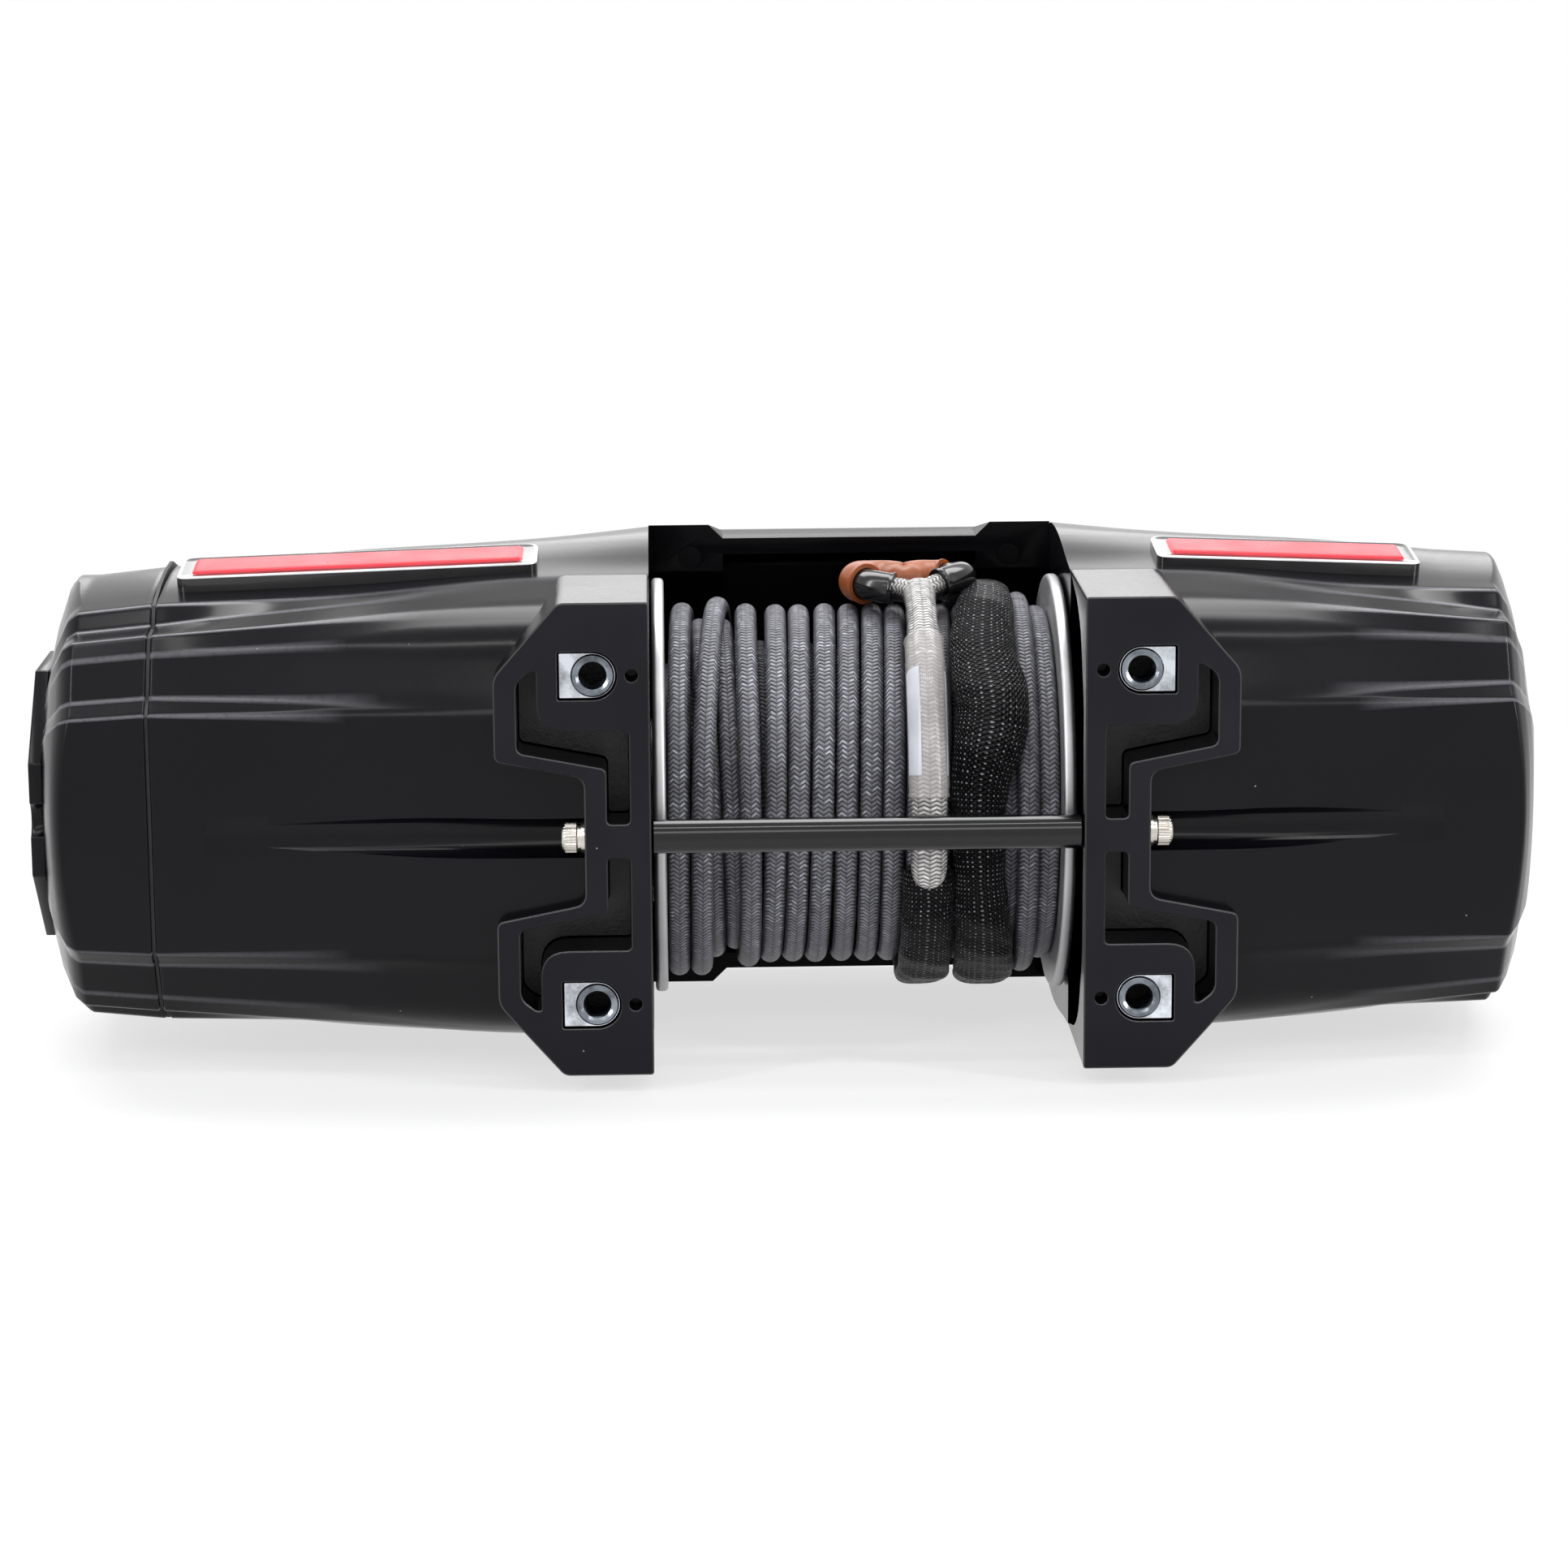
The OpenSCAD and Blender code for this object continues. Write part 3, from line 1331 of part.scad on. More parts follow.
module terminal_insulators() {
    color([0.15, 0.05, 0.05]) terminal_places() difference() {
        union() {
            cylinder(r = insulator_flange_r, h = insulator_flange_t);
            translate([0, 0, -pad_y + axis_y + cavity_r]) cylinder(r = insulator_r, h = pad_y - axis_y - cavity_r);
        }
        translate([0, 0, -pad_y]) cylinder(r = stud_r + seat, h = 2 * pad_y);
    }
}

module terminal_studs() {
    low = cavity_r - pad_y + axis_y;
    color(bronze) terminal_places() translate([0, 0, low]) cylinder(r = stud_r, h = stud_len);
}

module terminal_nuts() {
    color(zinc) terminal_places() translate([0, 0, insulator_flange_t]) difference() {
        cylinder(d = terminal_nut_af / cos(30), h = terminal_nut_t, $fn = 6);
        translate([0, 0, -over]) cylinder(r = stud_r + seat, h = terminal_nut_t + 2 * over);
    }
}

gear_housing();
motor_housing();
end_cap();
end_cap_gasket();
end_cap_screws();
drum_cover();
cover_screws();
cover_plugs();
tie_rod();
tie_rod_screws();
tie_rod_washers();
mount_nuts();
gear_side_plate();
motor_side_plate();
drum_bushes();
drum_seals();
ring_gear();
clutch_ring_gear();
motor_end_plate();
motor_can();
magnets();
brush_plate();
brushes();
brush_springs();
motor_bearings();
terminal_studs();
terminal_insulators();
terminal_nuts();
drum();
rope_core();
rope_wraps();
rope_sleeve();
rope_splice();
heat_shrink();
thimble_tube();
thimble_sleeve();
rope_anchor_screw();
output_carrier();
third_planet_a();
third_planet_b();
third_planet_c();
third_sun();
second_carrier();
second_planet_a();
second_planet_b();
second_planet_c();
second_sun();
first_carrier();
first_planet_a();
first_planet_b();
first_planet_c();
first_sun();
drive_shaft();
motor_shaft();
armature_core();
armature_windings();
commutator();
clutch_dial();
clutch_lock();
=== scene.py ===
# %% [markdown]
# # Electric recovery winch
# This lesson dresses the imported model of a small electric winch. The model gives every
# rigid piece in its true place; the script adds the cast housings' flutes and rounded
# edges, the braided rope, the woven sleeve and every finish. Lengths are written in
# millimetres and become Blender's metres when a mesh is made.

# %% Load the frame
import bpy
import bmesh
import json
import math
import numpy as np
from mathutils import Matrix, Vector
from mathutils.geometry import tessellate_polygon

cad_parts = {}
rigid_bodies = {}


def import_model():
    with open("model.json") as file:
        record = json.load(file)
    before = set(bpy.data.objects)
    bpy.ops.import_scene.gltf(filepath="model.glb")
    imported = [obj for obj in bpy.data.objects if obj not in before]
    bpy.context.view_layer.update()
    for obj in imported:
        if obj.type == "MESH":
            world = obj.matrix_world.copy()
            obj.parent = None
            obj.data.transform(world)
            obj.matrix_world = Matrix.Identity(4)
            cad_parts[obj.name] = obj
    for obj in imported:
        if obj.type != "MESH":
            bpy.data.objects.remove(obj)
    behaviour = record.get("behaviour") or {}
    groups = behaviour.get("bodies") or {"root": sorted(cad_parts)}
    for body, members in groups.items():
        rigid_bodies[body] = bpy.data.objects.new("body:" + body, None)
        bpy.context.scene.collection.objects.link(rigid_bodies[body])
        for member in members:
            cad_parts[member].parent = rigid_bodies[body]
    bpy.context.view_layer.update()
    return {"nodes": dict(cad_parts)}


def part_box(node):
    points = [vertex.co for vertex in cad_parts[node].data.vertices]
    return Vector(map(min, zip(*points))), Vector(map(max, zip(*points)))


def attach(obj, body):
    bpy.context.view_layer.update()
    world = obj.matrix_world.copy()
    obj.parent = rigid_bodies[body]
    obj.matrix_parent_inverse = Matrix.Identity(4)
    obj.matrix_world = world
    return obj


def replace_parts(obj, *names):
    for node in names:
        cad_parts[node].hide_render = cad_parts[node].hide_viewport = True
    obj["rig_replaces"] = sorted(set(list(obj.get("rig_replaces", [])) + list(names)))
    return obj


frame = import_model()
MM = 0.001
print("nodes in the frame:", len(frame["nodes"]))

# %% [markdown]
# The whole object is laid out from a few places that the frame gives: the drum's axis,
# the inner faces of the feet, and the ends of the housings. Everything along the drum
# is measured as s, the distance from the middle, on either side.

# %% Places taken from the frame
def low_high(node):
    """Lowest and highest corner of a node, in millimetres."""
    low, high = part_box(node)
    return np.array(low) / MM, np.array(high) / MM


BODY_LOW, BODY_HIGH = low_high("motor_housing")
GEAR_LOW = low_high("gear_housing")[0]
CAP_LOW, CAP_HIGH = low_high("end_cap")
INNER_S = BODY_LOW[0]
GEAR_END_S = -GEAR_LOW[0]
CAP_S = -CAP_HIGH[0]
CAP_END_S = -CAP_LOW[0]
DEPTH = BODY_HIGH[1]
ROD_LOW, ROD_HIGH = low_high("tie_rod")
ROD_Y = (ROD_LOW[1] + ROD_HIGH[1]) / 2
ROD_R = (ROD_HIGH[1] - ROD_LOW[1]) / 2
DRUM_LOW, DRUM_HIGH = low_high("drum")
AXIS_Y = (DRUM_LOW[1] + DRUM_HIGH[1]) / 2
FLANGE_R = (DRUM_HIGH[2] - DRUM_LOW[2]) / 2
print("drum axis at y =", round(float(AXIS_Y), 2), "flange radius", round(float(FLANGE_R), 2))

# %% [markdown]
# A piece starts as a grid of points worked out with numpy. The next helpers turn such
# grids into meshes: a closed tube or a lathed form is a grid that wraps round one way,
# and its ends are closed with one many-sided face each.

# %% Mesh helpers
def grid_faces(rows, columns, wrap_rows=False, wrap_columns=True):
    """Corner numbers of the quads of a rows by columns grid, wrapped where asked."""
    i = np.arange(rows if wrap_rows else rows - 1)[:, None]
    j = np.arange(columns if wrap_columns else columns - 1)[None, :]
    i2, j2 = (i + 1) % rows, (j + 1) % columns
    quads = [i * columns + j, i2 * columns + j, i2 * columns + j2, i * columns + j2]
    return np.stack(quads, -1).reshape(-1, 4)


def tube_of(rings):
    """Points and faces of rings that wrap round, with one face over each end."""
    rows, columns = rings.shape[:2]
    ends = [list(range(columns))[::-1], list(range((rows - 1) * columns, rows * columns))]
    return rings.reshape(-1, 3), grid_faces(rows, columns).tolist() + ends


def loop_of(rings):
    """Points and faces of rings whose last one joins the first again."""
    faces = grid_faces(*rings.shape[:2], wrap_rows=True)
    return rings.reshape(-1, 3), faces.tolist()


def grid_uv(along, around):
    """UV of each face corner of a tube: a length for each of its rings, and turns or
    width round it, for one place more than the tube has sides."""
    columns = len(around) - 1
    i, j = np.meshgrid(np.arange(len(along) - 1), np.arange(columns), indexing="ij")
    corners = [np.stack([along[i + a], around[j + b]], -1) for a, b in ((0, 0), (1, 0), (1, 1), (0, 1))]
    ends = [np.repeat([[along[end], 0.0]], columns, 0) for end in (0, -1)]
    return np.concatenate([np.stack(corners, 2).reshape(-1, 2), *ends])


def link(name, data):
    """A new object at the origin, in the scene."""
    made = bpy.data.objects.new(name, data)
    bpy.context.scene.collection.objects.link(made)
    return made


def face_outwards(mesh, merge=1e-6, join_flat=None):
    """Merges doubled points, joins faces that lie within an angle of flat where one is
    given, and turns every face to point outwards."""
    work = bmesh.new()
    work.from_mesh(mesh)
    bmesh.ops.remove_doubles(work, verts=work.verts, dist=merge)
    if join_flat is not None:
        bmesh.ops.dissolve_limit(work, angle_limit=join_flat, verts=work.verts, edges=work.edges)
    bmesh.ops.recalc_face_normals(work, faces=work.faces)
    work.to_mesh(mesh)
    work.free()


def mesh_of(name, points, faces):
    """Mesh from points in millimetres."""
    mesh = bpy.data.meshes.new(name)
    mesh.from_pydata((np.asarray(points, float) * MM).tolist(), [], [list(f) for f in faces])
    return mesh


def piece(name, points, faces, finish, uv=None, kinds=None, sharp=35, body="housing", ridge=None):
    """Makes an object that looks smooth up to an angle. finish is a material, or several
    of which kinds names one for each face; ridge is a value for each point: the share
    of the painted highlight that the black coat mixes in."""
    mesh = mesh_of(name, points, faces)
    for one in finish if isinstance(finish, list) else [finish]:
        mesh.materials.append(one)
    if uv is not None:
        layer = mesh.uv_layers.new(name="UVMap")
        layer.data.foreach_set("uv", np.asarray(uv, np.float32).ravel())
    if kinds is not None:
        mesh.polygons.foreach_set("material_index", np.asarray(kinds, np.int32))
    if ridge is not None:
        layer = mesh.attributes.new("ridge", "FLOAT", "POINT")
        layer.data.foreach_set("value", np.asarray(ridge, np.float32).ravel())
    face_outwards(mesh)
    mesh.shade_smooth()
    mesh.set_sharp_from_angle(angle=math.radians(sharp))
    made = link(name, mesh)
    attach(made, body)
    return made


def bake_modifiers(worked):
    """Gives an object the mesh that its modifiers make of its own."""
    graph = bpy.context.evaluated_depsgraph_get()
    mesh = bpy.data.meshes.new_from_object(worked.evaluated_get(graph))
    old = worked.data
    worked.modifiers.clear()
    worked.data = mesh
    bpy.data.meshes.remove(old)
    mesh.name = worked.name


def cut(target, cutter_points, cutter_faces):
    """Cuts a closed form out of a piece, point for point, and keeps its crisp edges."""
    mesh = mesh_of("cutter", cutter_points, cutter_faces)
    face_outwards(mesh)
    tool = link("cutter", mesh)
    step = target.modifiers.new("cut", "BOOLEAN")
    step.operation, step.object, step.solver = "DIFFERENCE", tool, "EXACT"
    bpy.context.view_layer.update()
    bake_modifiers(target)
    bpy.data.objects.remove(tool)
    target.data.set_sharp_from_angle(angle=math.radians(35))


# %% [markdown]
# Cast and machined edges are never knife-sharp, and the thin highlight along a rounded
# edge is what tells the eye that metal is real. So each outline is drawn with corners
# that a short curve replaces, each as large as that edge is round.

# %% Rounded outlines
MOST_OF_EDGE = 0.46


def rounded(corners, reach, steps):
    """Replaces each corner P by a curve from P-r*a to P+r*b that P pulls on, where a and
    b are the directions of its two edges and r its reach, at most 0.46 of an edge."""
    p = np.asarray(corners, float)
    before, after = np.roll(p, 1, 0) - p, np.roll(p, -1, 0) - p
    len_b, len_a = np.linalg.norm(before, axis=1), np.linalg.norm(after, axis=1)
    r = np.minimum(np.broadcast_to(reach, len(p)), MOST_OF_EDGE * np.minimum(len_b, len_a))[:, None]
    first = p + before / np.maximum(len_b, 1e-9)[:, None] * r
    last = p + after / np.maximum(len_a, 1e-9)[:, None] * r
    t = np.linspace(0, 1, steps)[None, :, None]
    curve = (1 - t) ** 2 * first[:, None] + 2 * t * (1 - t) * p[:, None] + t ** 2 * last[:, None]
    return curve.reshape(-1, p.shape[1])


def inset(loop, amount):
    """Moves each point of a dense closed outline inwards, square to the outline."""
    p = np.asarray(loop, float)
    tangent = np.roll(p, -1, 0) - np.roll(p, 1, 0)
    tangent /= np.maximum(np.linalg.norm(tangent, axis=1, keepdims=True), 1e-9)
    area = np.sum(p[:, 0] * np.roll(p[:, 1], -1) - np.roll(p[:, 0], -1) * p[:, 1])
    normal = np.stack([-tangent[:, 1], tangent[:, 0]], 1) * np.sign(area)
    return p + normal * amount


def circle(cx, cy, r, count):
    """Points of a circle, one after another by equal angles."""
    a = np.linspace(0, 2 * np.pi, count, endpoint=False)
    return np.stack([cx + r * np.cos(a), cy + r * np.sin(a)], 1)


def rectangle(half_x, half_z, x=0.0):
    """Corners of a rectangle about (x, 0)."""
    return [(x - half_x, -half_z), (x + half_x, -half_z), (x + half_x, half_z), (x - half_x, half_z)]


# Kinds of face of a foot, as places in its list of finishes
FACE, EDGE, SIDE, FLOOR = range(4)


class Slab:
    """Collects points and faces of a flat block seen from the front, with wells in it."""

    def __init__(self):
        self.points, self.faces, self.kinds = [], [], []

    def ring(self, loop, y):
        """Adds an outline at depth y and gives its point numbers."""
        start = len(self.points)
        self.points += [(x, y, z) for x, z in loop]
        return np.arange(start, start + len(loop))

    def band(self, a, b, kind):
        """Joins two outlines of equal count with quads."""
        quads = np.stack([a, b, np.roll(b, -1), np.roll(a, -1)], 1)
        self.faces += quads.tolist()
        self.kinds += [kind] * len(quads)

    def sheet(self, outer, holes, kind):
        """Closes the space between an outline and the holes in it with triangles."""
        numbers = np.concatenate([outer, *holes])
        loops = [[Vector((self.points[n][0], self.points[n][2], 0)) for n in loop]
                 for loop in (outer, *holes)]
        triangles = tessellate_polygon(loops)
        self.faces += [[int(numbers[k]) for k in t] for t in triangles]
        self.kinds += [kind] * len(triangles)

    def well(self, loop, bottom, chamfer, wall=SIDE, inner=()):
        """Sinks a pocket into the face and gives the outline where it starts. Outlines in
        its floor are left open."""
        mouth = self.ring(inset(loop, -chamfer), 0)
        lip = self.ring(loop, chamfer)
        foot = self.ring(loop, bottom - chamfer)
        base = self.ring(inset(loop, chamfer), bottom)
        self.band(mouth, lip, EDGE)
        self.band(lip, foot, wall)
        self.band(foot, base, wall)
        self.sheet(base, inner, FLOOR)
        return mouth


# %% [markdown]
# Paint, castings, rope and rubber differ in colour less than in how they scatter light.
# Each finish below is a Principled shader whose fixed values sit on its own sockets,
# with noise for the small changes in tone, gloss and height that a real surface has.
# Formulas for patterns are written as with plain numbers, and each sign adds a node.

# %% Material helpers
def lin(r, g, b):
    """Turns a colour read on a screen, 0 to 255, into the shader's linear light."""
    c = np.array([r, g, b]) / 255
    return tuple(np.where(c <= 0.04045, c / 12.92, ((c + 0.055) / 1.055) ** 2.4)) + (1.0,)


def shade(tone, share):
    """A tone made lighter or darker by a share, held at white."""
    return tuple(min(1.0, share * c) for c in tone[:3]) + (1.0,)


def plug(tree, value, socket):
    """Links a level or a node's output to a socket, or sets the socket to a value."""
    if isinstance(value, Level):
        value = value.socket
    if isinstance(value, bpy.types.NodeSocket):
        tree.links.new(value, socket)
    else:
        socket.default_value = value


def sign(operation):
    """Method for a level that works out one operation with another number."""
    def worked(self, other=0.5):
        return self.math(operation, other)
    return worked


class Level:
    """A number that nodes work out at every point of a surface, for use in formulas."""

    def __init__(self, finish, socket):
        self.finish, self.socket = finish, socket

    def math(self, operation, second=0.5, first=None):
        """A Math node over this number and a second, or over a first and this."""
        inputs = {0: self if first is None else first, 1: second}
        return self.finish.level(self.finish.add("ShaderNodeMath", inputs, operation=operation))

    def __rsub__(self, other):
        return self.math("SUBTRACT", self, other)

    def hump(self):
        """Rises from 0 to 1 and falls back within every unit: sin(pi*frac(x))."""
        return (self.math("FRACT") * math.pi).math("SINE")

    __add__, __sub__, __mul__ = sign("ADD"), sign("SUBTRACT"), sign("MULTIPLY")
    __truediv__, __pow__, __mod__ = sign("DIVIDE"), sign("POWER"), sign("FLOORED_MODULO")
    __gt__, __lt__, __abs__ = sign("GREATER_THAN"), sign("LESS_THAN"), sign("ABSOLUTE")


class Finish:
    """A material with its nodes, and short calls for the few kinds used here."""

    def __init__(self, name, **sockets):
        self.mat = bpy.data.materials.new(name)
        self.mat.use_nodes = True
        self.tree = self.mat.node_tree
        self.shader = self.tree.nodes["Principled BSDF"]
        for key, value in sockets.items():
            self.shader.inputs[key.replace("_", " ")].default_value = value
        coords = self.add("ShaderNodeTexCoord")
        self.place, self.uv = coords.outputs["Object"], coords.outputs["UV"]
        self.height = None

    def add(self, kind, inputs=None, **settings):
        """Adds a node, sets its properties, and links or sets its inputs."""
        node = self.tree.nodes.new(kind)
        for key, value in settings.items():
            setattr(node, key, value)
        for key, value in (inputs or {}).items():
            plug(self.tree, value, node.inputs[key])
        return node

    def level(self, node, output=0):
        """One output of a node, as a number for formulas."""
        return Level(self, node.outputs[output])

    def parts(self, vector):
        """The three numbers of a vector."""
        node = self.add("ShaderNodeSeparateXYZ", {0: vector})
        return [self.level(node, k) for k in range(3)]

    def chance(self, row, column):
        """A random number from 0 to 1 for each whole step of two numbers."""
        cell = {0: row.math("FLOOR"), 1: column.math("FLOOR"), 2: 0.0}
        cell = self.add("ShaderNodeCombineXYZ", cell).outputs[0]
        return self.level(self.add("ShaderNodeTexWhiteNoise", {"Vector": cell}), "Value")

    def object_space(self, scale=(1, 1, 1), place=(0, 0, 0)):
        """Object coordinates, moved and stretched."""
        inputs = {"Vector": self.place, "Location": place, "Scale": scale}
        return self.add("ShaderNodeMapping", inputs).outputs[0]

    def noise(self, per_m, detail, rough=0.55, vector=None):
        """Soft noise with so many features in a metre."""
        inputs = {"Vector": vector or self.place, "Scale": per_m, "Detail": detail, "Roughness": rough}
        return self.level(self.add("ShaderNodeTexNoise", inputs), "Fac")

    def ramp(self, factor, stops):
        """Maps a number to colours at chosen stops."""
        node = self.add("ShaderNodeValToRGB", {"Fac": factor})
        elements = node.color_ramp.elements
        while len(elements) < len(stops):
            elements.new(0.5)
        for element, (place, colour) in zip(elements, stops):
            element.position, element.color = place, colour
        return node.outputs["Color"]

    def grey(self, factor, low, high, value_low=0.0, value_high=1.0):
        """Straight map of a number from one range to another, held at its ends."""
        inputs = {"Value": factor, "From Min": low, "From Max": high}
        inputs.update({"To Min": value_low, "To Max": value_high})
        return self.level(self.add("ShaderNodeMapRange", inputs), "Result")

    def mix(self, factor, a, b):
        """Colour between a and b; the three inputs are a Mix node's for colours."""
        return self.add("ShaderNodeMix", {0: factor, 6: a, 7: b}, data_type="RGBA").outputs[2]

    def colour(self, value):
        plug(self.tree, value, self.shader.inputs["Base Color"])

    def rough(self, value):
        plug(self.tree, value, self.shader.inputs["Roughness"])

    def bump(self, height, distance_mm, strength):
        """Stacks one more layer of relief on the surface."""
        inputs = {"Height": height, "Distance": distance_mm * MM, "Strength": strength}
        if self.height is not None:
            inputs["Normal"] = self.height
        self.height = self.add("ShaderNodeBump", inputs).outputs["Normal"]
        plug(self.tree, self.height, self.shader.inputs["Normal"])


# %% [markdown]
# The housings are die-cast and powder-coated: a semi-gloss black with a faint orange
# peel, fine scuffs that catch light, and a few grains of pale dust. Along the crisp
# ridges a paler grey is painted in as their highlight.

# %% Black coat
SPECKS_PER_M, SPECK_R = 260.0, 0.05
# Pale dust, and the grey painted on crisp ridges as their highlight
DUST, PAINTED_HIGHLIGHT = lin(150, 150, 152), lin(92, 92, 97)


def coat(name, tone, gloss, mirror, dust=0.036, scuff=0.04, ridges=False):
    """Black paint: tone and gloss vary slowly, with fine peel and pale specks in a share
    of cells. Where the attribute "ridge" is 1 a paler grey is mixed into the colour as
    a painted highlight along the crisp ridges."""
    f = Finish(name, Specular_IOR_Level=mirror)
    slow, fine = f.noise(22, 3), f.noise(900, 2)
    base = f.ramp(slow, [(0.3, shade(tone, 0.8)), (0.7, shade(tone, 1.2))])
    if ridges:
        # Painted highlight: the colour goes towards a paler grey by the ridge share
        highlight_share = f.level(f.add("ShaderNodeAttribute", attribute_name="ridge"), "Fac")
        base = f.mix(highlight_share * f.grey(fine, 0.2, 0.5, 0.6, 0.95), base, PAINTED_HIGHLIGHT)
    specks = f.add("ShaderNodeTexVoronoi", {"Vector": f.place, "Scale": SPECKS_PER_M}, feature="F1")
    near = f.level(specks, "Distance") < SPECK_R
    draw = f.level(f.add("ShaderNodeSeparateColor", {0: specks.outputs["Color"]}))
    speck = near * (draw < dust)
    f.colour(f.mix(speck * 0.75, base, DUST))
    f.rough(f.grey(slow * 0.6 + fine * 0.4, 0.3, 0.7, gloss - scuff, gloss + scuff))
    f.bump(fine, 0.006, 0.4)
    f.bump(f.noise(160, 2), 0.012, 0.3)
    f.bump(speck, 0.06, 0.8)
    return f.mat


BLACK_COAT = coat("black_coat", lin(8, 8, 12), 0.19, mirror=0.17, ridges=True)
GLOSS_COAT = coat("gloss_coat", lin(6, 6, 8), 0.12, dust=0.018, scuff=0.03, mirror=0.4)
COVER_COAT = coat("cover_coat", lin(6, 6, 8), 0.26, dust=0.018, scuff=0.03, mirror=0.06)
FACE_COAT = coat("foot_face", lin(22, 22, 27), 0.5, dust=0.072, scuff=0.06, mirror=0.12)
EDGE_COAT = coat("edge_coat", lin(30, 30, 33), 0.3, dust=0.0, scuff=0.08, mirror=0.5)


def rough_cast():
    """Floor of a cast pocket: black over coarse sand grain, with sparkling bumps."""
    f = Finish("rough_cast", Roughness=0.38)
    grain = f.noise(1100, 5, 0.7)
    f.colour(f.ramp(f.noise(60, 3), [(0.3, lin(5, 5, 6)), (0.7, lin(15, 15, 17))]))
    f.bump(grain, 0.16, 0.9)
    f.bump(f.noise(300, 3), 0.15, 0.7)
    return f.mat


ROUGH_CAST = rough_cast()


# %% [markdown]
# Bare metals: the drum's flanges are cast alloy with turning marks round the axis, the
# screws are stainless, the captive nuts are bright zinc, and the gears are oiled steel.

# %% Metals
MARKS_PER_M = 900.0


def turned_metal(name, tone, gloss, spread):
    """Metal turned round the drum's axis: fine rings in height and gloss by radius."""
    f = Finish(name, Metallic=1.0)
    x, y, z = f.parts(f.object_space(place=(0, -AXIS_Y * MM, 0)))
    radius = (abs(y) ** 2.0 + abs(z) ** 2.0).math("SQRT")
    line = f.add("ShaderNodeCombineXYZ", {0: radius * MARKS_PER_M, 1: x * MARKS_PER_M})
    rings = f.noise(1.0, 3, 0.6, vector=line.outputs[0])
    stain = f.noise(45, 4, 0.6)
    f.colour(f.ramp(stain, [(0.3, shade(tone, 0.82)), (0.75, shade(tone, 1.08))]))
    f.rough(f.grey(rings * 0.5 + stain * 0.5, 0.3, 0.7, gloss - spread, gloss + spread))
    f.bump(rings, 0.012, 0.6)
    return f.mat


def plain_metal(name, tone, gloss, spread=0.06, metallic=1.0, depth=0.01, stain_low=0.8):
    """Metal with a little stain, and grain in its gloss and height."""
    f = Finish(name, Metallic=metallic)
    stain, fine = f.noise(140, 4, 0.65), f.noise(500, 3, 0.6)
    f.colour(f.ramp(stain, [(0.34, shade(tone, stain_low)), (0.6, shade(tone, 1.08))]))
    f.rough(f.grey(fine, 0.3, 0.7, gloss - spread, gloss + spread))
    f.bump(fine, depth, 0.6)
    return f.mat


CAST_ALLOY = turned_metal("cast_alloy", lin(184, 184, 186), 0.45, 0.08)
STAINLESS = plain_metal("stainless", lin(205, 200, 192), 0.25)
# The darker zinc is painted shade on the nuts' rings and bores
SHADED_ZINC = plain_metal("shaded_zinc", lin(132, 138, 146), 0.16, spread=0.08, stain_low=0.3, depth=0.02)
ZINC = plain_metal("zinc", lin(214, 219, 226), 0.2, spread=0.1, stain_low=0.35, depth=0.02)
GEAR_STEEL = plain_metal("gear_steel", lin(150, 150, 152), 0.32)
BRONZE = plain_metal("bronze", lin(176, 138, 88), 0.4)
COPPER = plain_metal("copper", lin(190, 112, 72), 0.35)
FERRITE = plain_metal("ferrite", lin(52, 52, 55), 0.6, metallic=0.0)
CARBON = plain_metal("carbon", lin(34, 34, 35), 0.55, metallic=0.0)
INSULATOR = plain_metal("insulator", lin(90, 22, 22), 0.4, metallic=0.0)
RUBBER = plain_metal("rubber", lin(20, 20, 21), 0.62, metallic=0.0, depth=0.03)

# %% [markdown]
# The rope is a hollow braid of synthetic yarn. Its strands run both ways round it and
# pass over and under each other, which reads as a herringbone. The pattern lives on the
# rope's own UV: millimetres along it and turns round it.

# %% Braid and weave
def braid(name, light, dark, pitch_mm=1.06, columns=6.0, slope=0.8, gloss=0.4):
    """Columns of V-shaped stitches. Across a column, w falls from 1 to 0 and rises again;
    the stitch is sin(pi*frac(length/pitch + slope*w)), lower along the columns' seams.
    Its colour holds painted shade in the stitches' low places and a painted highlight on
    their tops, painted glints on random stitch tops, and painted shade on the rope's
    sides and the side towards the drum."""
    f = Finish(name, Specular_IOR_Level=0.3)
    length, turns, _ = f.parts(f.uv)
    w = abs((turns * columns).math("FRACT") - 0.5) * 2.0
    phase = length / pitch_mm + w * slope
    height = phase.hump() ** 0.7 * (1.0 - w ** 5.0 * 0.45)
    chance = f.chance(phase, turns * (columns * 2))
    # Painted shade in the stitches' low places, painted highlight on their tops
    tone = f.ramp(height * 0.75 + chance * 0.25, [(0.15, dark), (0.7, light), (1.0, shade(light, 1.9))])
    stain = f.mix(f.grey(f.noise(28, 3), 0.35, 0.75, 0.0, 0.4), tone, shade(light, 0.6))
    # Painted glints on random stitch tops
    painted_glint = (chance > 0.7) * (height > 0.9) * f.grey(f.noise(70, 3), 0.42, 0.62)
    lit = f.mix(painted_glint * 0.8, stain, shade(light, 3.4))
    # Painted shade on the rope's sides and the side towards the drum
    outer = (turns * (2 * math.pi)).math("COSINE")
    f.colour(f.mix(f.grey(outer, -0.15, 0.75), shade(dark, 0.5), lit))
    f.rough(f.grey(chance, 0.0, 1.0, gloss - 0.12, gloss + 0.12))
    f.bump(height, 0.34, 0.9)
    return f.mat


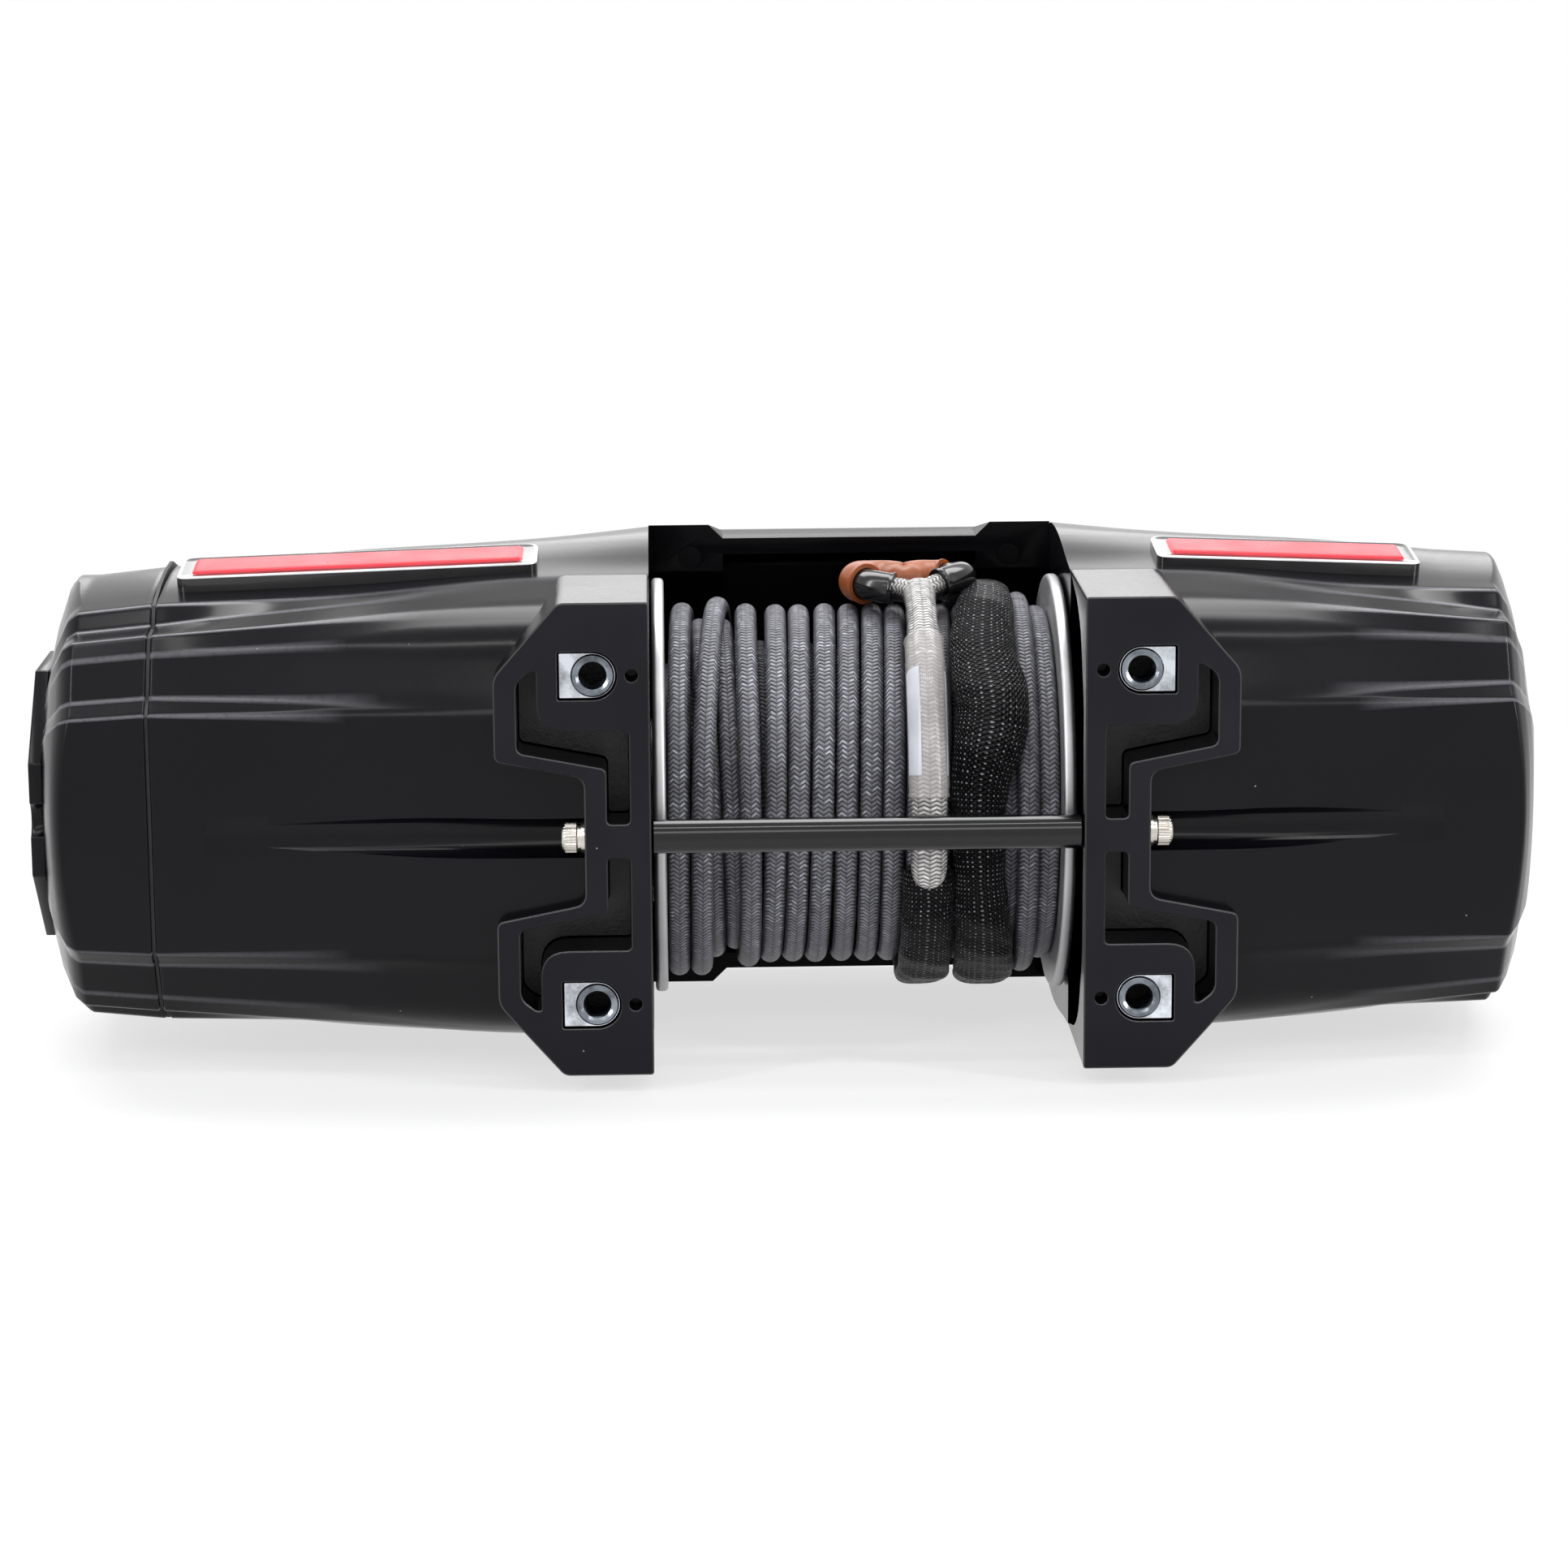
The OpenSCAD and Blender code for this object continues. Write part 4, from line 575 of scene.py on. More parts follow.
def woven(name, dark, light, lit, cell_mm, gloss):
    """Weave of flat yarn laid at 45 degrees: with u = (length + width)/cell and
    v = (length - width)/cell, the yarn on top changes from cell to cell. The colour runs
    from dark in the low places to lit on the beads' tops: painted shade and painted glints."""
    f = Finish(name, Specular_IOR_Level=0.1)
    length, width, _ = f.parts(f.uv)
    wave = (f.noise(0.35, 2, 0.5, vector=f.uv) - 0.5) * 0.8
    u = (length + width + wave) / cell_mm
    v = (length - width) / cell_mm
    odd = (u.math("FLOOR") + v.math("FLOOR")) % 2.0 < 0.5
    height = u.hump() ** 0.6 * v.hump() ** 0.6 * (odd * 0.22 + 0.78)
    chance = f.chance(u, v)
    # Painted shade between the beads, painted glint on their tops
    stops = [(0.2, dark), (0.66, light), (0.76, light), (0.95, lit)]
    f.colour(f.ramp(height * 0.8 + chance * 0.2, stops))
    f.rough(f.grey(chance, 0.0, 1.0, gloss - 0.1, gloss + 0.12))
    f.bump(height, 0.5, 0.95)
    return f.mat


# For both braids the dark tone is painted shade in low places and on the sides
ROPE_BRAID = braid("rope_braid", lin(103, 103, 110), lin(12, 12, 14))
SPLICE_BRAID = braid("splice_braid", lin(174, 172, 171), lin(44, 44, 46), pitch_mm=0.95,
                     columns=9.0, slope=0.6, gloss=0.36)
# The last tone is the painted glint on the sleeve's beads
SLEEVE_WEAVE = woven("sleeve_weave", lin(2, 2, 3), lin(6, 6, 8), lin(142, 142, 150), 1.15, 0.34)

# %% [markdown]
# Three plastics finish the rope's end: clear heat-shrink, a gloss black tube through
# the eye, and a translucent amber sleeve that has kinked where it bends.

# %% Plastics
def plastic(name, tone, gloss, **sockets):
    """Moulded or extruded plastic with faint flow lines."""
    f = Finish(name, **sockets)
    slow = f.noise(90, 3)
    f.colour(f.ramp(slow, [(0.3, shade(tone, 0.85)), (0.7, shade(tone, 1.12))]))
    f.rough(f.grey(slow, 0.3, 0.7, gloss - 0.04, gloss + 0.06))
    f.bump(f.noise(250, 2), 0.02, 0.5)
    return f.mat


TUBE_BLACK = plastic("tube_black", lin(14, 14, 15), 0.16)
AMBER = plastic("amber", lin(138, 74, 40), 0.34, Subsurface_Weight=0.3, Subsurface_Scale=0.003,
                Subsurface_Radius=(1.0, 0.35, 0.12), Specular_IOR_Level=0.3)
CLEAR = plastic("clear_shrink", lin(190, 186, 186), 0.2, Alpha=0.34, Coat_Weight=0.25, Coat_Roughness=0.15)
LABEL = plastic("label", lin(208, 215, 227), 0.5)
PLATE_BLACK = plastic("plate_black", lin(22, 22, 24), 0.2, Coat_Weight=0.5)
PLATE_EDGE = plastic("plate_edge", lin(190, 190, 194), 0.3)
PLATE_RED = plastic("plate_red", lin(200, 22, 44), 0.3, Specular_IOR_Level=0.35)
CLEAR.surface_render_method = "BLENDED"
print("materials made:", len(bpy.data.materials))

# %% [markdown]
# The camera stands where the photograph was taken from: a little to the left, about
# twelve degrees above the drum, with a long lens. It was fitted to the four nut holes,
# whose spacing is known.

# %% Camera
PHOTO_PX = 1932
FOCAL_PX = 5533.56
SENSOR_MM = 36.0
CAMERA_AT = Vector((-46.1, -991.9, 220.9)) * MM
RIGHT = Vector((0.9996, -0.0287, -0.0068)).normalized()
AHEAD = Vector((0.0267, 0.9784, -0.2052)).normalized()
UP = RIGHT.cross(AHEAD).normalized()
lens = bpy.data.cameras.new("photo_camera")
lens.sensor_width = SENSOR_MM
lens.lens = FOCAL_PX / PHOTO_PX * SENSOR_MM
lens.clip_start, lens.clip_end = 0.05, 20
camera = link("photo_camera", lens)
camera.matrix_world = Matrix.Translation(CAMERA_AT) @ Matrix((RIGHT, UP, -AHEAD)).transposed().to_4x4()
bpy.context.scene.camera = camera
print("lens in mm:", round(lens.lens, 1))

# %% [markdown]
# The winch lies on a pale floor. A large soft lamp hangs above it, with weaker ones in
# front and behind. A narrow one lights the ridges' tops, and a tall strip at each side
# draws the long highlights along the housings.

# %% Floor, world and lamps
def seen_plainly(tree, least=0.0):
    """1 where the camera, a mirror or glass looks at a thing, and else a least value."""
    path = tree.nodes.new("ShaderNodeLightPath")
    last = least
    for ray in ("Is Camera Ray", "Is Transmission Ray", "Is Glossy Ray"):
        most = tree.nodes.new("ShaderNodeMath")
        most.operation = "MAXIMUM"
        plug(tree, path.outputs[ray], most.inputs[0])
        plug(tree, last, most.inputs[1])
        last = most.outputs[0]
    return last


def pale(name, level):
    """World that is white to the camera, mirrors and glass, and lights the rest at a
    plain level."""
    world = bpy.data.worlds.new(name)
    world.use_nodes = True
    back = world.node_tree.nodes["Background"]
    back.inputs["Color"].default_value = (1, 1, 1, 1)
    plug(world.node_tree, seen_plainly(world.node_tree, level), back.inputs["Strength"])
    return world


bpy.context.scene.world = pale("studio", 0.2)
bpy.context.scene.view_settings.view_transform = "Standard"


def floor_finish():
    """Pale floor. Away from the winch it turns to plain white for the camera, mirrors
    and glass: the share of white rises with the distance from the middle."""
    f = Finish("pale_floor", Base_Color=(0.88, 0.88, 0.885, 1), Roughness=0.55)
    x, y, _ = f.parts(f.object_space(scale=(0.72, 1, 0)))
    distance = (abs(x) ** 2.0 + abs(y - 0.05) ** 2.0).math("SQRT")
    share = f.grey(distance, 0.1, 0.4, 0.66, 1.0) * seen_plainly(f.tree)
    white = f.add("ShaderNodeEmission", {"Color": (1, 1, 1, 1), "Strength": 1.0})
    both = f.add("ShaderNodeMixShader", {0: share, 1: f.shader.outputs[0], 2: white.outputs[0]})
    plug(f.tree, both.outputs[0], f.tree.nodes["Material Output"].inputs["Surface"])
    return f.mat


FLOOR_HALF, FLOOR_Z = 2600, min(GEAR_LOW[2], BODY_LOW[2]) - 0.2
floor = piece("floor", [(x, y, FLOOR_Z) for x, y in rectangle(FLOOR_HALF, FLOOR_HALF)],
              [(0, 1, 2, 3)], floor_finish())


def lamp(name, place, size, power):
    """A soft rectangular lamp at a place in millimetres, pointed at the winch's middle."""
    light = bpy.data.lights.new(name, "AREA")
    light.shape, light.size, light.size_y = "RECTANGLE", size[0] * MM, size[1] * MM
    light.energy = power
    lit = link(name, light)
    lit.location = Vector(place) * MM
    lit.rotation_euler = (Vector(place) - Vector(MIDDLE)).to_track_quat("Z", "Y").to_euler()


MIDDLE = (-15, 60, 0)
lamp("lamp_top", (0, 520, 1070), (1800, 600), 27)
lamp("lamp_front", (0, -1000, 750), (1400, 260), 3.5)
lamp("lamp_back", (60, 1500, 430), (900, 300), 1.6)
lamp("lamp_ridge", (0, -430, 1120), (1700, 70), 4.5)
lamp("strip_left", (-950, -600, 500), (90, 1000), 6)
lamp("strip_right", (1000, -500, 420), (90, 1000), 8)
print("lamps made:", len(bpy.data.lights))

# %% [markdown]
# A housing is one casting: a body whose section changes from the foot to the outer end,
# and a foot block with pockets. The section is described by fourteen corners from the
# front centre over the top to the back centre, at four stations, as shares of the
# body's depth and half height, and it is the same below. Between stations each corner
# follows a smooth curve, and each corner's rounding also changes from station to
# station, so the steps at the outer end fade out towards the foot.

# %% Section tables
ROOT = ([4.5, 4.5, 6, 13, 22.2, 34, 39, 50, 64, 78, 96, 110, 118.5, 121.5],
        [0, 28, 32, 45.2, 50.5, 53, 54.4, 55.4, 57.5, 58.7, 58, 52, 36, 0])
FOOT = ([4.5, 4.5, 6.5, 13, 22.2, 34, 39, 50, 64, 78, 94, 108, 117, 120],
        [0, 28, 32, 45.2, 50.5, 53, 54, 55, 56.5, 57.3, 55, 47.5, 32.5, 0])
MID = ([8.8, 8.8, 11.5, 17.7, 23.5, 30.5, 37, 50, 64, 78, 94, 106.5, 115, 118],
       [0, 28.1, 31.2, 43, 47.6, 50, 50.9, 53, 55, 55.6, 52.3, 44, 29, 0])
END = ([12, 12, 16, 21.2, 24, 33, 36.5, 50, 64, 78, 93, 104.5, 112.5, 115.5],
       [0, 28, 31.2, 40.3, 44.3, 45, 49.4, 51.2, 52.2, 52.1, 48.6, 40.2, 25.8, 0])
SECTIONS = np.array([np.stack(part, 1) for part in (ROOT, FOOT, MID, END)])
# Reach of each corner's rounding at the same stations
REACH = np.array([
    [1, 9, 5, 8, 7, 3, 2, 9, 9, 9, 9, 9, 9, 9],
    [1, 7, 4, 7, 4, 3, 2, 9, 9, 9, 9, 9, 9, 9],
    [1, 2.2, 1.8, 2.2, 1.1, 1.3, 1.5, 9, 9, 9, 9, 9, 9, 9],
    [1, 0.6, 0.8, 1.0, 0.6, 0.7, 0.8, 7, 9, 9, 9, 9, 9, 9],
])
CORNERS = SECTIONS.shape[1]
# Points of each rounding and of the flat stretch after it
BEND_STEPS, FLAT_STEPS = 5, 5
# What bows outwards at a body's end: the front panel up to its half height, and the
# crown within 36 of y = 78, fading in from z = 40 to 48. Along s the bow rises over the
# first 8 and falls over the last 12.
PANEL_HALF = 28.0
CROWN_Y, CROWN_HALF, CROWN_Z, CROWN_FADE = 78, 36, 40, 8
BOW_RISE, BOW_FALL = 8, 12
NO_BOW = (0.0, 0.0, 0.0, 0.0)


def smooth_stations(at, stations, values):
    """Curve through the values at the stations: between two of them a cubic whose slopes
    there are the slopes between their neighbours."""
    stations = np.asarray(stations, float)
    shape = (-1,) + (1,) * (values.ndim - 1)
    slope = np.gradient(values, stations, axis=0)
    k = np.clip(np.searchsorted(stations, at, side="right") - 1, 0, len(stations) - 2)
    width = (stations[k + 1] - stations[k]).reshape(shape)
    t = (at - stations[k]).reshape(shape) / width
    a, b = values[k], values[k + 1]
    return ((2 * t ** 3 - 3 * t ** 2 + 1) * a + (t ** 3 - 2 * t ** 2 + t) * width * slope[k]
            + (3 * t ** 2 - 2 * t ** 3) * b + (t ** 3 - t ** 2) * width * slope[k + 1])


def section_ring(corners, reach):
    """One rounded closed outline in (y, z) from half a section's corners, with points
    spread evenly along the flat stretch between one rounding and the next."""
    whole = np.concatenate([corners, corners[-2:0:-1] * [1, -1]])
    radii = np.concatenate([reach, reach[-2:0:-1]])
    bends = rounded(whole, radii, BEND_STEPS).reshape(-1, BEND_STEPS, 2)
    start, end = bends[:, -1], np.roll(bends[:, 0], -1, 0)
    share = np.linspace(0, 1, FLAT_STEPS + 2)[1:-1, None]
    flats = start[:, None] + (end - start)[:, None] * share
    return np.concatenate([bends, flats], 1).reshape(-1, 2)


def body_rings(at, stations, scale, bow, crown_bow, bow_from, bow_to):
    """Rings of the body at distances at, each shrunk about the drum's axis by scale. The
    outer edges bow outwards: the push is bow times 1-(z/half panel)^2 on the front panel
    and crown_bow times 1-((y-78)/36)^2 over the top, and fades out by bow_to."""
    held = np.minimum(at, stations[-1])
    corners = smooth_stations(held, stations, SECTIONS)
    reach = np.clip(smooth_stations(held, stations, REACH), 0.3, 9)
    rings = []
    for s, c, r, k in zip(at, corners, reach, scale):
        ring = (section_ring(c, r) - [AXIS_Y, 0]) * k + [AXIS_Y, 0]
        y, z = ring[:, 0], np.abs(ring[:, 1])
        front = np.clip(1 - (z / PANEL_HALF) ** 2, 0, 1) * (y < AXIS_Y / 2)
        crown = np.clip(1 - ((y - CROWN_Y) / CROWN_HALF) ** 2, 0, 1)
        crown = crown * np.clip((z / k - CROWN_Z) / CROWN_FADE, 0, 1)
        fade = np.clip((s - bow_from) / BOW_RISE, 0, 1) * np.clip((bow_to - s) / BOW_FALL, 0, 1)
        push = (bow * front + crown_bow * crown) * fade
        rings.append(np.column_stack([s + push, ring]))
    return np.array(rings)


# %% [markdown]
# The foot is drawn as seen from the front. Its outline, the two channel-shaped pockets,
# the recesses of the captive nuts and the small locating holes are rounded outlines,
# and the face between them is filled with triangles.

# %% Foot outlines
FOOT_HALF, FOOT_OUT, FOOT_TOP, FOOT_DEEP = 54.75, 84.35, 69.55, 39.2
EDGE_Z, WAIST_Z, WEB_HALF, WEB_OUT = 37.9, 18.6, 14.6, 64.2
NUT_S, NUT_Z, NUT_HALF, NUT_SQUARE, NUT_SINK = 61.9, 38.1, 5.4, 7.8, 0.9
POCKET_DEEP, NUT_DEEP, BOLT_R, BOLT_DEEP = 14.0, 9.0, 4.4, 16.0
PIN_S, PIN_R, PIN_DEEP = INNER_S + 4.0, 1.5, 7.0
POCKET = [(53.9, 3.9), (59.1, 3.9), (59.1, 16.7), (79.2, 20.6), (79.2, 36.7), (75.8, 39.3),
          (74.6, 39.3), (74.6, 25.4), (53.9, 25.4)]
POCKET_REACH = [1.2, 1.2, 1.4, 1.6, 2.4, 1.4, 0.8, 8.5, 1.2]


def foot_outline():
    """Two lobes joined by a web, as one closed outline, with small rounded corners."""
    top = [(WEB_OUT, WEB_HALF), (FOOT_OUT, WAIST_Z), (FOOT_OUT, EDGE_Z), (FOOT_TOP, FOOT_HALF),
           (INNER_S, FOOT_HALF)]
    low = [(x, -z) for x, z in top[::-1]]
    reach = [2.5, 1.6, 2.2, 1.4, 0.8]
    return rounded(top + low, reach + reach[::-1], 6)


def nut_outline(play):
    """A half circle towards the drum and a square end away from it."""
    half = NUT_HALF + play
    arc = np.radians(np.linspace(90, 270, 25))
    left = np.stack([NUT_S + half * np.cos(arc), NUT_Z + half * np.sin(arc)], 1)
    right = NUT_S + NUT_SQUARE + play
    corners = [left[-1], (right, NUT_Z - half), (right, NUT_Z + half), left[0]]
    square = rounded(corners, [0.01, 0.5, 0.5, 0.01], 4)
    return np.concatenate([left[1:-1], square[3:-3]])


def build_foot():
    """The foot's block in front view, for the motor side, at its true depth."""
    slab = Slab()
    outline = foot_outline()
    face_loop = slab.ring(inset(outline, FOOT_CHAMFER), 0)
    side = slab.ring(outline, FOOT_CHAMFER)
    back = slab.ring(outline, FOOT_DEEP)
    slab.band(face_loop, side, EDGE)
    slab.band(side, back, SIDE)
    slab.sheet(back, [], SIDE)
    mouths = []
    for flip in (1, -1):
        way = np.array([1, flip])
        pocket = rounded(POCKET, POCKET_REACH, 7) * way
        mouths.append(slab.well(pocket, POCKET_DEEP, chamfer=0.3))
        hole = circle(NUT_S, NUT_Z, BOLT_R, 36) * way
        deep = slab.ring(hole, NUT_DEEP)
        end = slab.ring(hole, BOLT_DEEP)
        slab.band(deep, end, SIDE)
        slab.sheet(end, [], FLOOR)
        nut = nut_outline(NUT_PLAY) * way
        mouths.append(slab.well(nut, NUT_DEEP, chamfer=0.2, inner=[deep]))
        locator = circle(PIN_S, NUT_Z, PIN_R, 24) * way
        mouths.append(slab.well(locator, PIN_DEEP, chamfer=0.15, wall=FLOOR))
    slab.sheet(face_loop, mouths, FACE)
    return slab


FOOT_CHAMFER, NUT_PLAY = 0.35, 0.15
FOOT_SLAB = build_foot()
FOOT_FINISHES = [FACE_COAT, EDGE_COAT, BLACK_COAT, ROUGH_CAST]
feet = []
for name, way in (("motor_foot", 1), ("gear_foot", -1)):
    foot = piece(name, np.array(FOOT_SLAB.points) * [way, 1, 1], FOOT_SLAB.faces, FOOT_FINISHES,
                 kinds=FOOT_SLAB.kinds, sharp=30)
    feet.append(foot)
motor_foot, gear_foot = feet
print("faces in a foot:", len(FOOT_SLAB.faces))

# %% [markdown]
# The body is carried through its sections, cut away where the foot's block stands, and
# cut once more by a slim round channel through which the tie rod's screw is reached. It
# is hollow for the motor or the gears, and a recess at the back holds the terminals.

# %% Housing bodies
TROUGH_R, CAVITY_R, LOCK_R, LOCK_S, WALL = 4.7, 41.03, 43.6, 131.5, 8.0
# How far a cutter reaches past the face that it opens, and how far the foot's block
# laps over its cut at the sides and at the back
PAST, LAP_SIDE, LAP_BACK = 1.0, 0.4, 4.0


def bore_cutter(way, s_from, s_to, r, y=AXIS_Y, z=0.0, count=72, sink=0.0):
    """A round cutter along the drum's direction, on the side that way gives. Its axis
    starts at (y, z) and moves away from the front by sink."""
    rings = np.stack([np.column_stack([np.full(count, way * s), circle(y_here, z, r, count)])
                      for s, y_here in ((s_from, y), (s_to, y + sink))])
    return tube_of(rings)


def prism(loop, front, back):
    """A closed form with an outline in (x, z) between two depths."""
    return tube_of(np.stack([np.column_stack([loop[:, 0], np.full(len(loop), y), loop[:, 1]])
                             for y in (front, back)]))


def ridge_share(at, stations):
    """For each point of the rings 1 on a crisp ridge and 0 elsewhere: the share falls as
    the rounding's reach grows from 0.9 to 2.2 mm, and to the rounding's two ends. Only
    corners 1 to 6 are ridges, and those of the lower half show 0.6 of it. It is the share
    of the painted highlight that the black coat mixes in."""
    reach = smooth_stations(np.minimum(at, stations[-1]), stations, REACH)
    number = np.arange(CORNERS)
    crisp = np.clip((2.2 - reach) / 1.3, 0, 1) * (number >= 1) * (number <= 6)
    upper_and_lower = np.concatenate([crisp, 0.6 * crisp[:, -2:0:-1]], 1)
    across = np.array([0, 0.7, 1, 0.7, 0] + [0] * FLAT_STEPS)
    return (upper_and_lower[:, :, None] * across).reshape(len(at), -1)


def housing_body(name, way, stations, at, scale, bows, trough_end):
    """One body: rings along s, closed at both ends. The cut for the foot is a little
    smaller than the foot's block, and the round channel runs out of the front face."""
    rings = body_rings(at, stations, scale, *bows) * [way, 1, 1]
    made = piece(name, *tube_of(rings), BLACK_COAT, sharp=40, ridge=ridge_share(at, stations))
    cut(made, *prism(inset(foot_outline(), LAP_SIDE) * [way, 1], -5.0, FOOT_DEEP - LAP_BACK))
    face_y = smooth_stations(np.array([trough_end]), stations, SECTIONS)[0, 0, 0]
    cut(made, *bore_cutter(way, WEB_OUT - 0.5, trough_end, TROUGH_R, ROD_Y, count=32,
                           sink=face_y - ROD_Y - TROUGH_R))
    return made


# The motor's end: distances from its edge, and how far the section has shrunk there
DOME = np.array([0, 0.4, 1.0, 3.1, 5.7, 8.2, 10.2, 11.8, 12.3])
DOME_SCALE = [1, 0.997, 0.988, 0.925, 0.81, 0.62, 0.44, 0.28, 0.2]
MOTOR_EDGE_S, MOTOR_TROUGH_END = INNER_S + 99, 134
MOTOR_BOWS = (3.0, 5.0, 140, MOTOR_EDGE_S + DOME[-1])
RECESS_S, RECESS_HALF_X, RECESS_HALF_Z = 128.15, 10, 23
motor_at = np.concatenate([np.linspace(INNER_S, MOTOR_EDGE_S - 0.5, 90), MOTOR_EDGE_S + DOME[:3],
                           MOTOR_EDGE_S + np.linspace(1.8, DOME[-1], 18)])
motor_body = housing_body("motor_body", 1, [INNER_S, 79, 112, MOTOR_EDGE_S], motor_at,
                          np.interp(motor_at, MOTOR_EDGE_S + DOME, DOME_SCALE),
                          MOTOR_BOWS, MOTOR_TROUGH_END)
for part in (motor_body, motor_foot):
    cut(part, *bore_cutter(1, INNER_S - PAST, MOTOR_EDGE_S, CAVITY_R))
STUDS_BACK = low_high("terminal_insulators")[1][1]
recess = rounded(rectangle(RECESS_HALF_X, RECESS_HALF_Z, x=RECESS_S), 4, 8)
cut(motor_body, *prism(recess, STUDS_BACK - 2, DEPTH + 5))
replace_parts(motor_body, "motor_housing")
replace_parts(motor_foot, "motor_housing")

# The seam of gear body and cap: distances from it, and the rounding of the edge there
SEAM = np.array([0, 0.12, 0.35, 0.6])
SEAM_SCALE = [0.99, 0.995, 0.999, 1]
GEAR_TROUGH_END = 153
gear_at = np.concatenate([np.linspace(INNER_S, GEAR_END_S - SEAM[3], 100), GEAR_END_S - SEAM[2::-1]])
gear_body = housing_body("gear_body", -1, [INNER_S, 79, 118, GEAR_END_S], gear_at,
                         np.interp(gear_at, GEAR_END_S - SEAM[::-1], SEAM_SCALE[::-1]),
                         NO_BOW, GEAR_TROUGH_END)
for part in (gear_body, gear_foot):
    cut(part, *bore_cutter(-1, INNER_S + WALL, GEAR_END_S + PAST, CAVITY_R))
cut(gear_body, *bore_cutter(-1, LOCK_S, GEAR_END_S + PAST, LOCK_R))
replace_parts(gear_body, "gear_housing")
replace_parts(gear_foot, "gear_housing")
print("faces in a body:", len(motor_body.data.polygons))

# %% [markdown]
# The end cap carries the gear body's end section on, past a thin seam, and then falls
# away in a bevel to the flat end that holds the clutch dial. Its front panel ends in a
# shallow bow.

# %% End cap
CAP_EDGE_S = CAP_S + 17
CAP_STATIONS = [0, 50, 100, CAP_S - 0.01]
CAP_BOWS = (3.0, 4.0, CAP_EDGE_S - 8, CAP_END_S + 3.5)
CAP_NARROWS = 0.035
BEVEL = CAP_EDGE_S + (CAP_END_S - CAP_EDGE_S) * np.array([0.0, 0.05, 0.1, 0.3, 0.5, 0.7, 0.85, 0.95, 1])
cap_at = np.concatenate([CAP_S + SEAM, np.linspace(CAP_S + 1.5, CAP_EDGE_S - 0.5, 18), BEVEL])
cap_scale = np.interp(cap_at, [*(CAP_S + SEAM), CAP_EDGE_S, CAP_EDGE_S + 0.8, CAP_EDGE_S + 2.6,
                               CAP_EDGE_S + 6, CAP_END_S - 0.5, CAP_END_S],
                      [*SEAM_SCALE, 1, 0.992, 0.962, 0.82, 0.69, 0.66])
cap_rings = body_rings(cap_at, CAP_STATIONS, cap_scale, *CAP_BOWS)
cap_rings[..., 0] = np.minimum(cap_rings[..., 0], CAP_END_S)
cap_rings[..., 2] *= 1 - CAP_NARROWS * np.clip((cap_rings[..., 0] - CAP_S) / (CAP_EDGE_S - CAP_S), 0, 1)
cap_body = piece("cap_body", *tube_of(cap_rings * [-1, 1, 1]), BLACK_COAT, sharp=40,
                 ridge=ridge_share(cap_at, CAP_STATIONS))

DIAL_WELL_R, DIAL_WELL_DEEP = 26.4, 5.6
CAP_SCREW_AT, CAP_SCREW_R = 46.6, 3.7
cut(cap_body, *bore_cutter(-1, CAP_END_S - DIAL_WELL_DEEP, CAP_END_S + 3, DIAL_WELL_R))
for turn in (30, -30, 80, -80):
    y = AXIS_Y + CAP_SCREW_AT * math.cos(math.radians(turn))
    z = CAP_SCREW_AT * math.sin(math.radians(turn))
    cut(cap_body, *bore_cutter(-1, CAP_S + 7, CAP_END_S + 3, CAP_SCREW_R, y, z, 32))
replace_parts(cap_body, "end_cap")
print("faces in the cap:", len(cap_body.data.polygons))

# %% [markdown]
# The drum is a barrel with a flange at each end, turned on a lathe, and the tie rod is
# a round bar between the feet. Each is a profile of distance along its axis and radius,
# carried round that axis.

# %% Lathe
def lathe(name, profile, finish, axis_y=AXIS_Y, count=96, body="housing", ring=True, sharp=35):
    """Carries (x, radius) points round an axis along X in equal steps. The profile is a
    ring's own outline, or else runs from axis to axis."""
    profile = np.asarray(profile, float)
    x, r = profile[:, :1], profile[:, 1:]
    a = np.linspace(0, 2 * np.pi, count, endpoint=False)
    rings = np.stack([np.repeat(x, count, 1), axis_y + r * np.cos(a), r * np.sin(a)], -1)
    return piece(name, *(loop_of if ring else tube_of)(rings), finish, body=body, sharp=sharp)


def pin(name, x_from, x_to, r, finish, count, edge=0.0):
    """A round pin on the tie rod's axis, with bevelled edges where edge is given."""
    profile = [(x_from, NEAR_AXIS), (x_from, r - edge), (x_from + edge, r), (x_to - edge, r),
               (x_to, r - edge), (x_to, NEAR_AXIS)]
    if not edge:
        profile = profile[:2] + profile[4:]
    return lathe(name, profile, finish, ROD_Y, count, ring=False)


NEAR_AXIS = 0.01
FLANGE_T, JOURNAL_R, BARREL_R, BORE_R = 3.0, 15.95, 23.0, 12.0
FLANGE_OUT = INNER_S - 0.5
FLANGE_IN = FLANGE_OUT - FLANGE_T
RIM, ROOT_BEVEL, JOURNAL_BEVEL = 1.1, 1.5, 0.4
half = [(0, BORE_R), (DRUM_HIGH[0], BORE_R), (DRUM_HIGH[0], JOURNAL_R - JOURNAL_BEVEL),
        (DRUM_HIGH[0] - JOURNAL_BEVEL, JOURNAL_R), (FLANGE_OUT, JOURNAL_R), (FLANGE_OUT, FLANGE_R - RIM)]
half += [(FLANGE_OUT - RIM * (1 - math.cos(t)), FLANGE_R - RIM * (1 - math.sin(t)))
         for t in np.linspace(0.2, math.pi / 2, 6)]
half += [(FLANGE_IN + RIM * (1 - math.sin(t)), FLANGE_R - RIM * (1 - math.cos(t)))
         for t in np.linspace(0, math.pi / 2, 6)]
half += [(FLANGE_IN, BARREL_R + ROOT_BEVEL), (FLANGE_IN - ROOT_BEVEL, BARREL_R), (0, BARREL_R)]
drum_profile = half + [(-x, r) for x, r in half[::-1][1:-1]]
drum_piece = lathe("drum_turned", drum_profile, CAST_ALLOY, count=160, body="drum", sharp=30)
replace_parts(drum_piece, "drum")

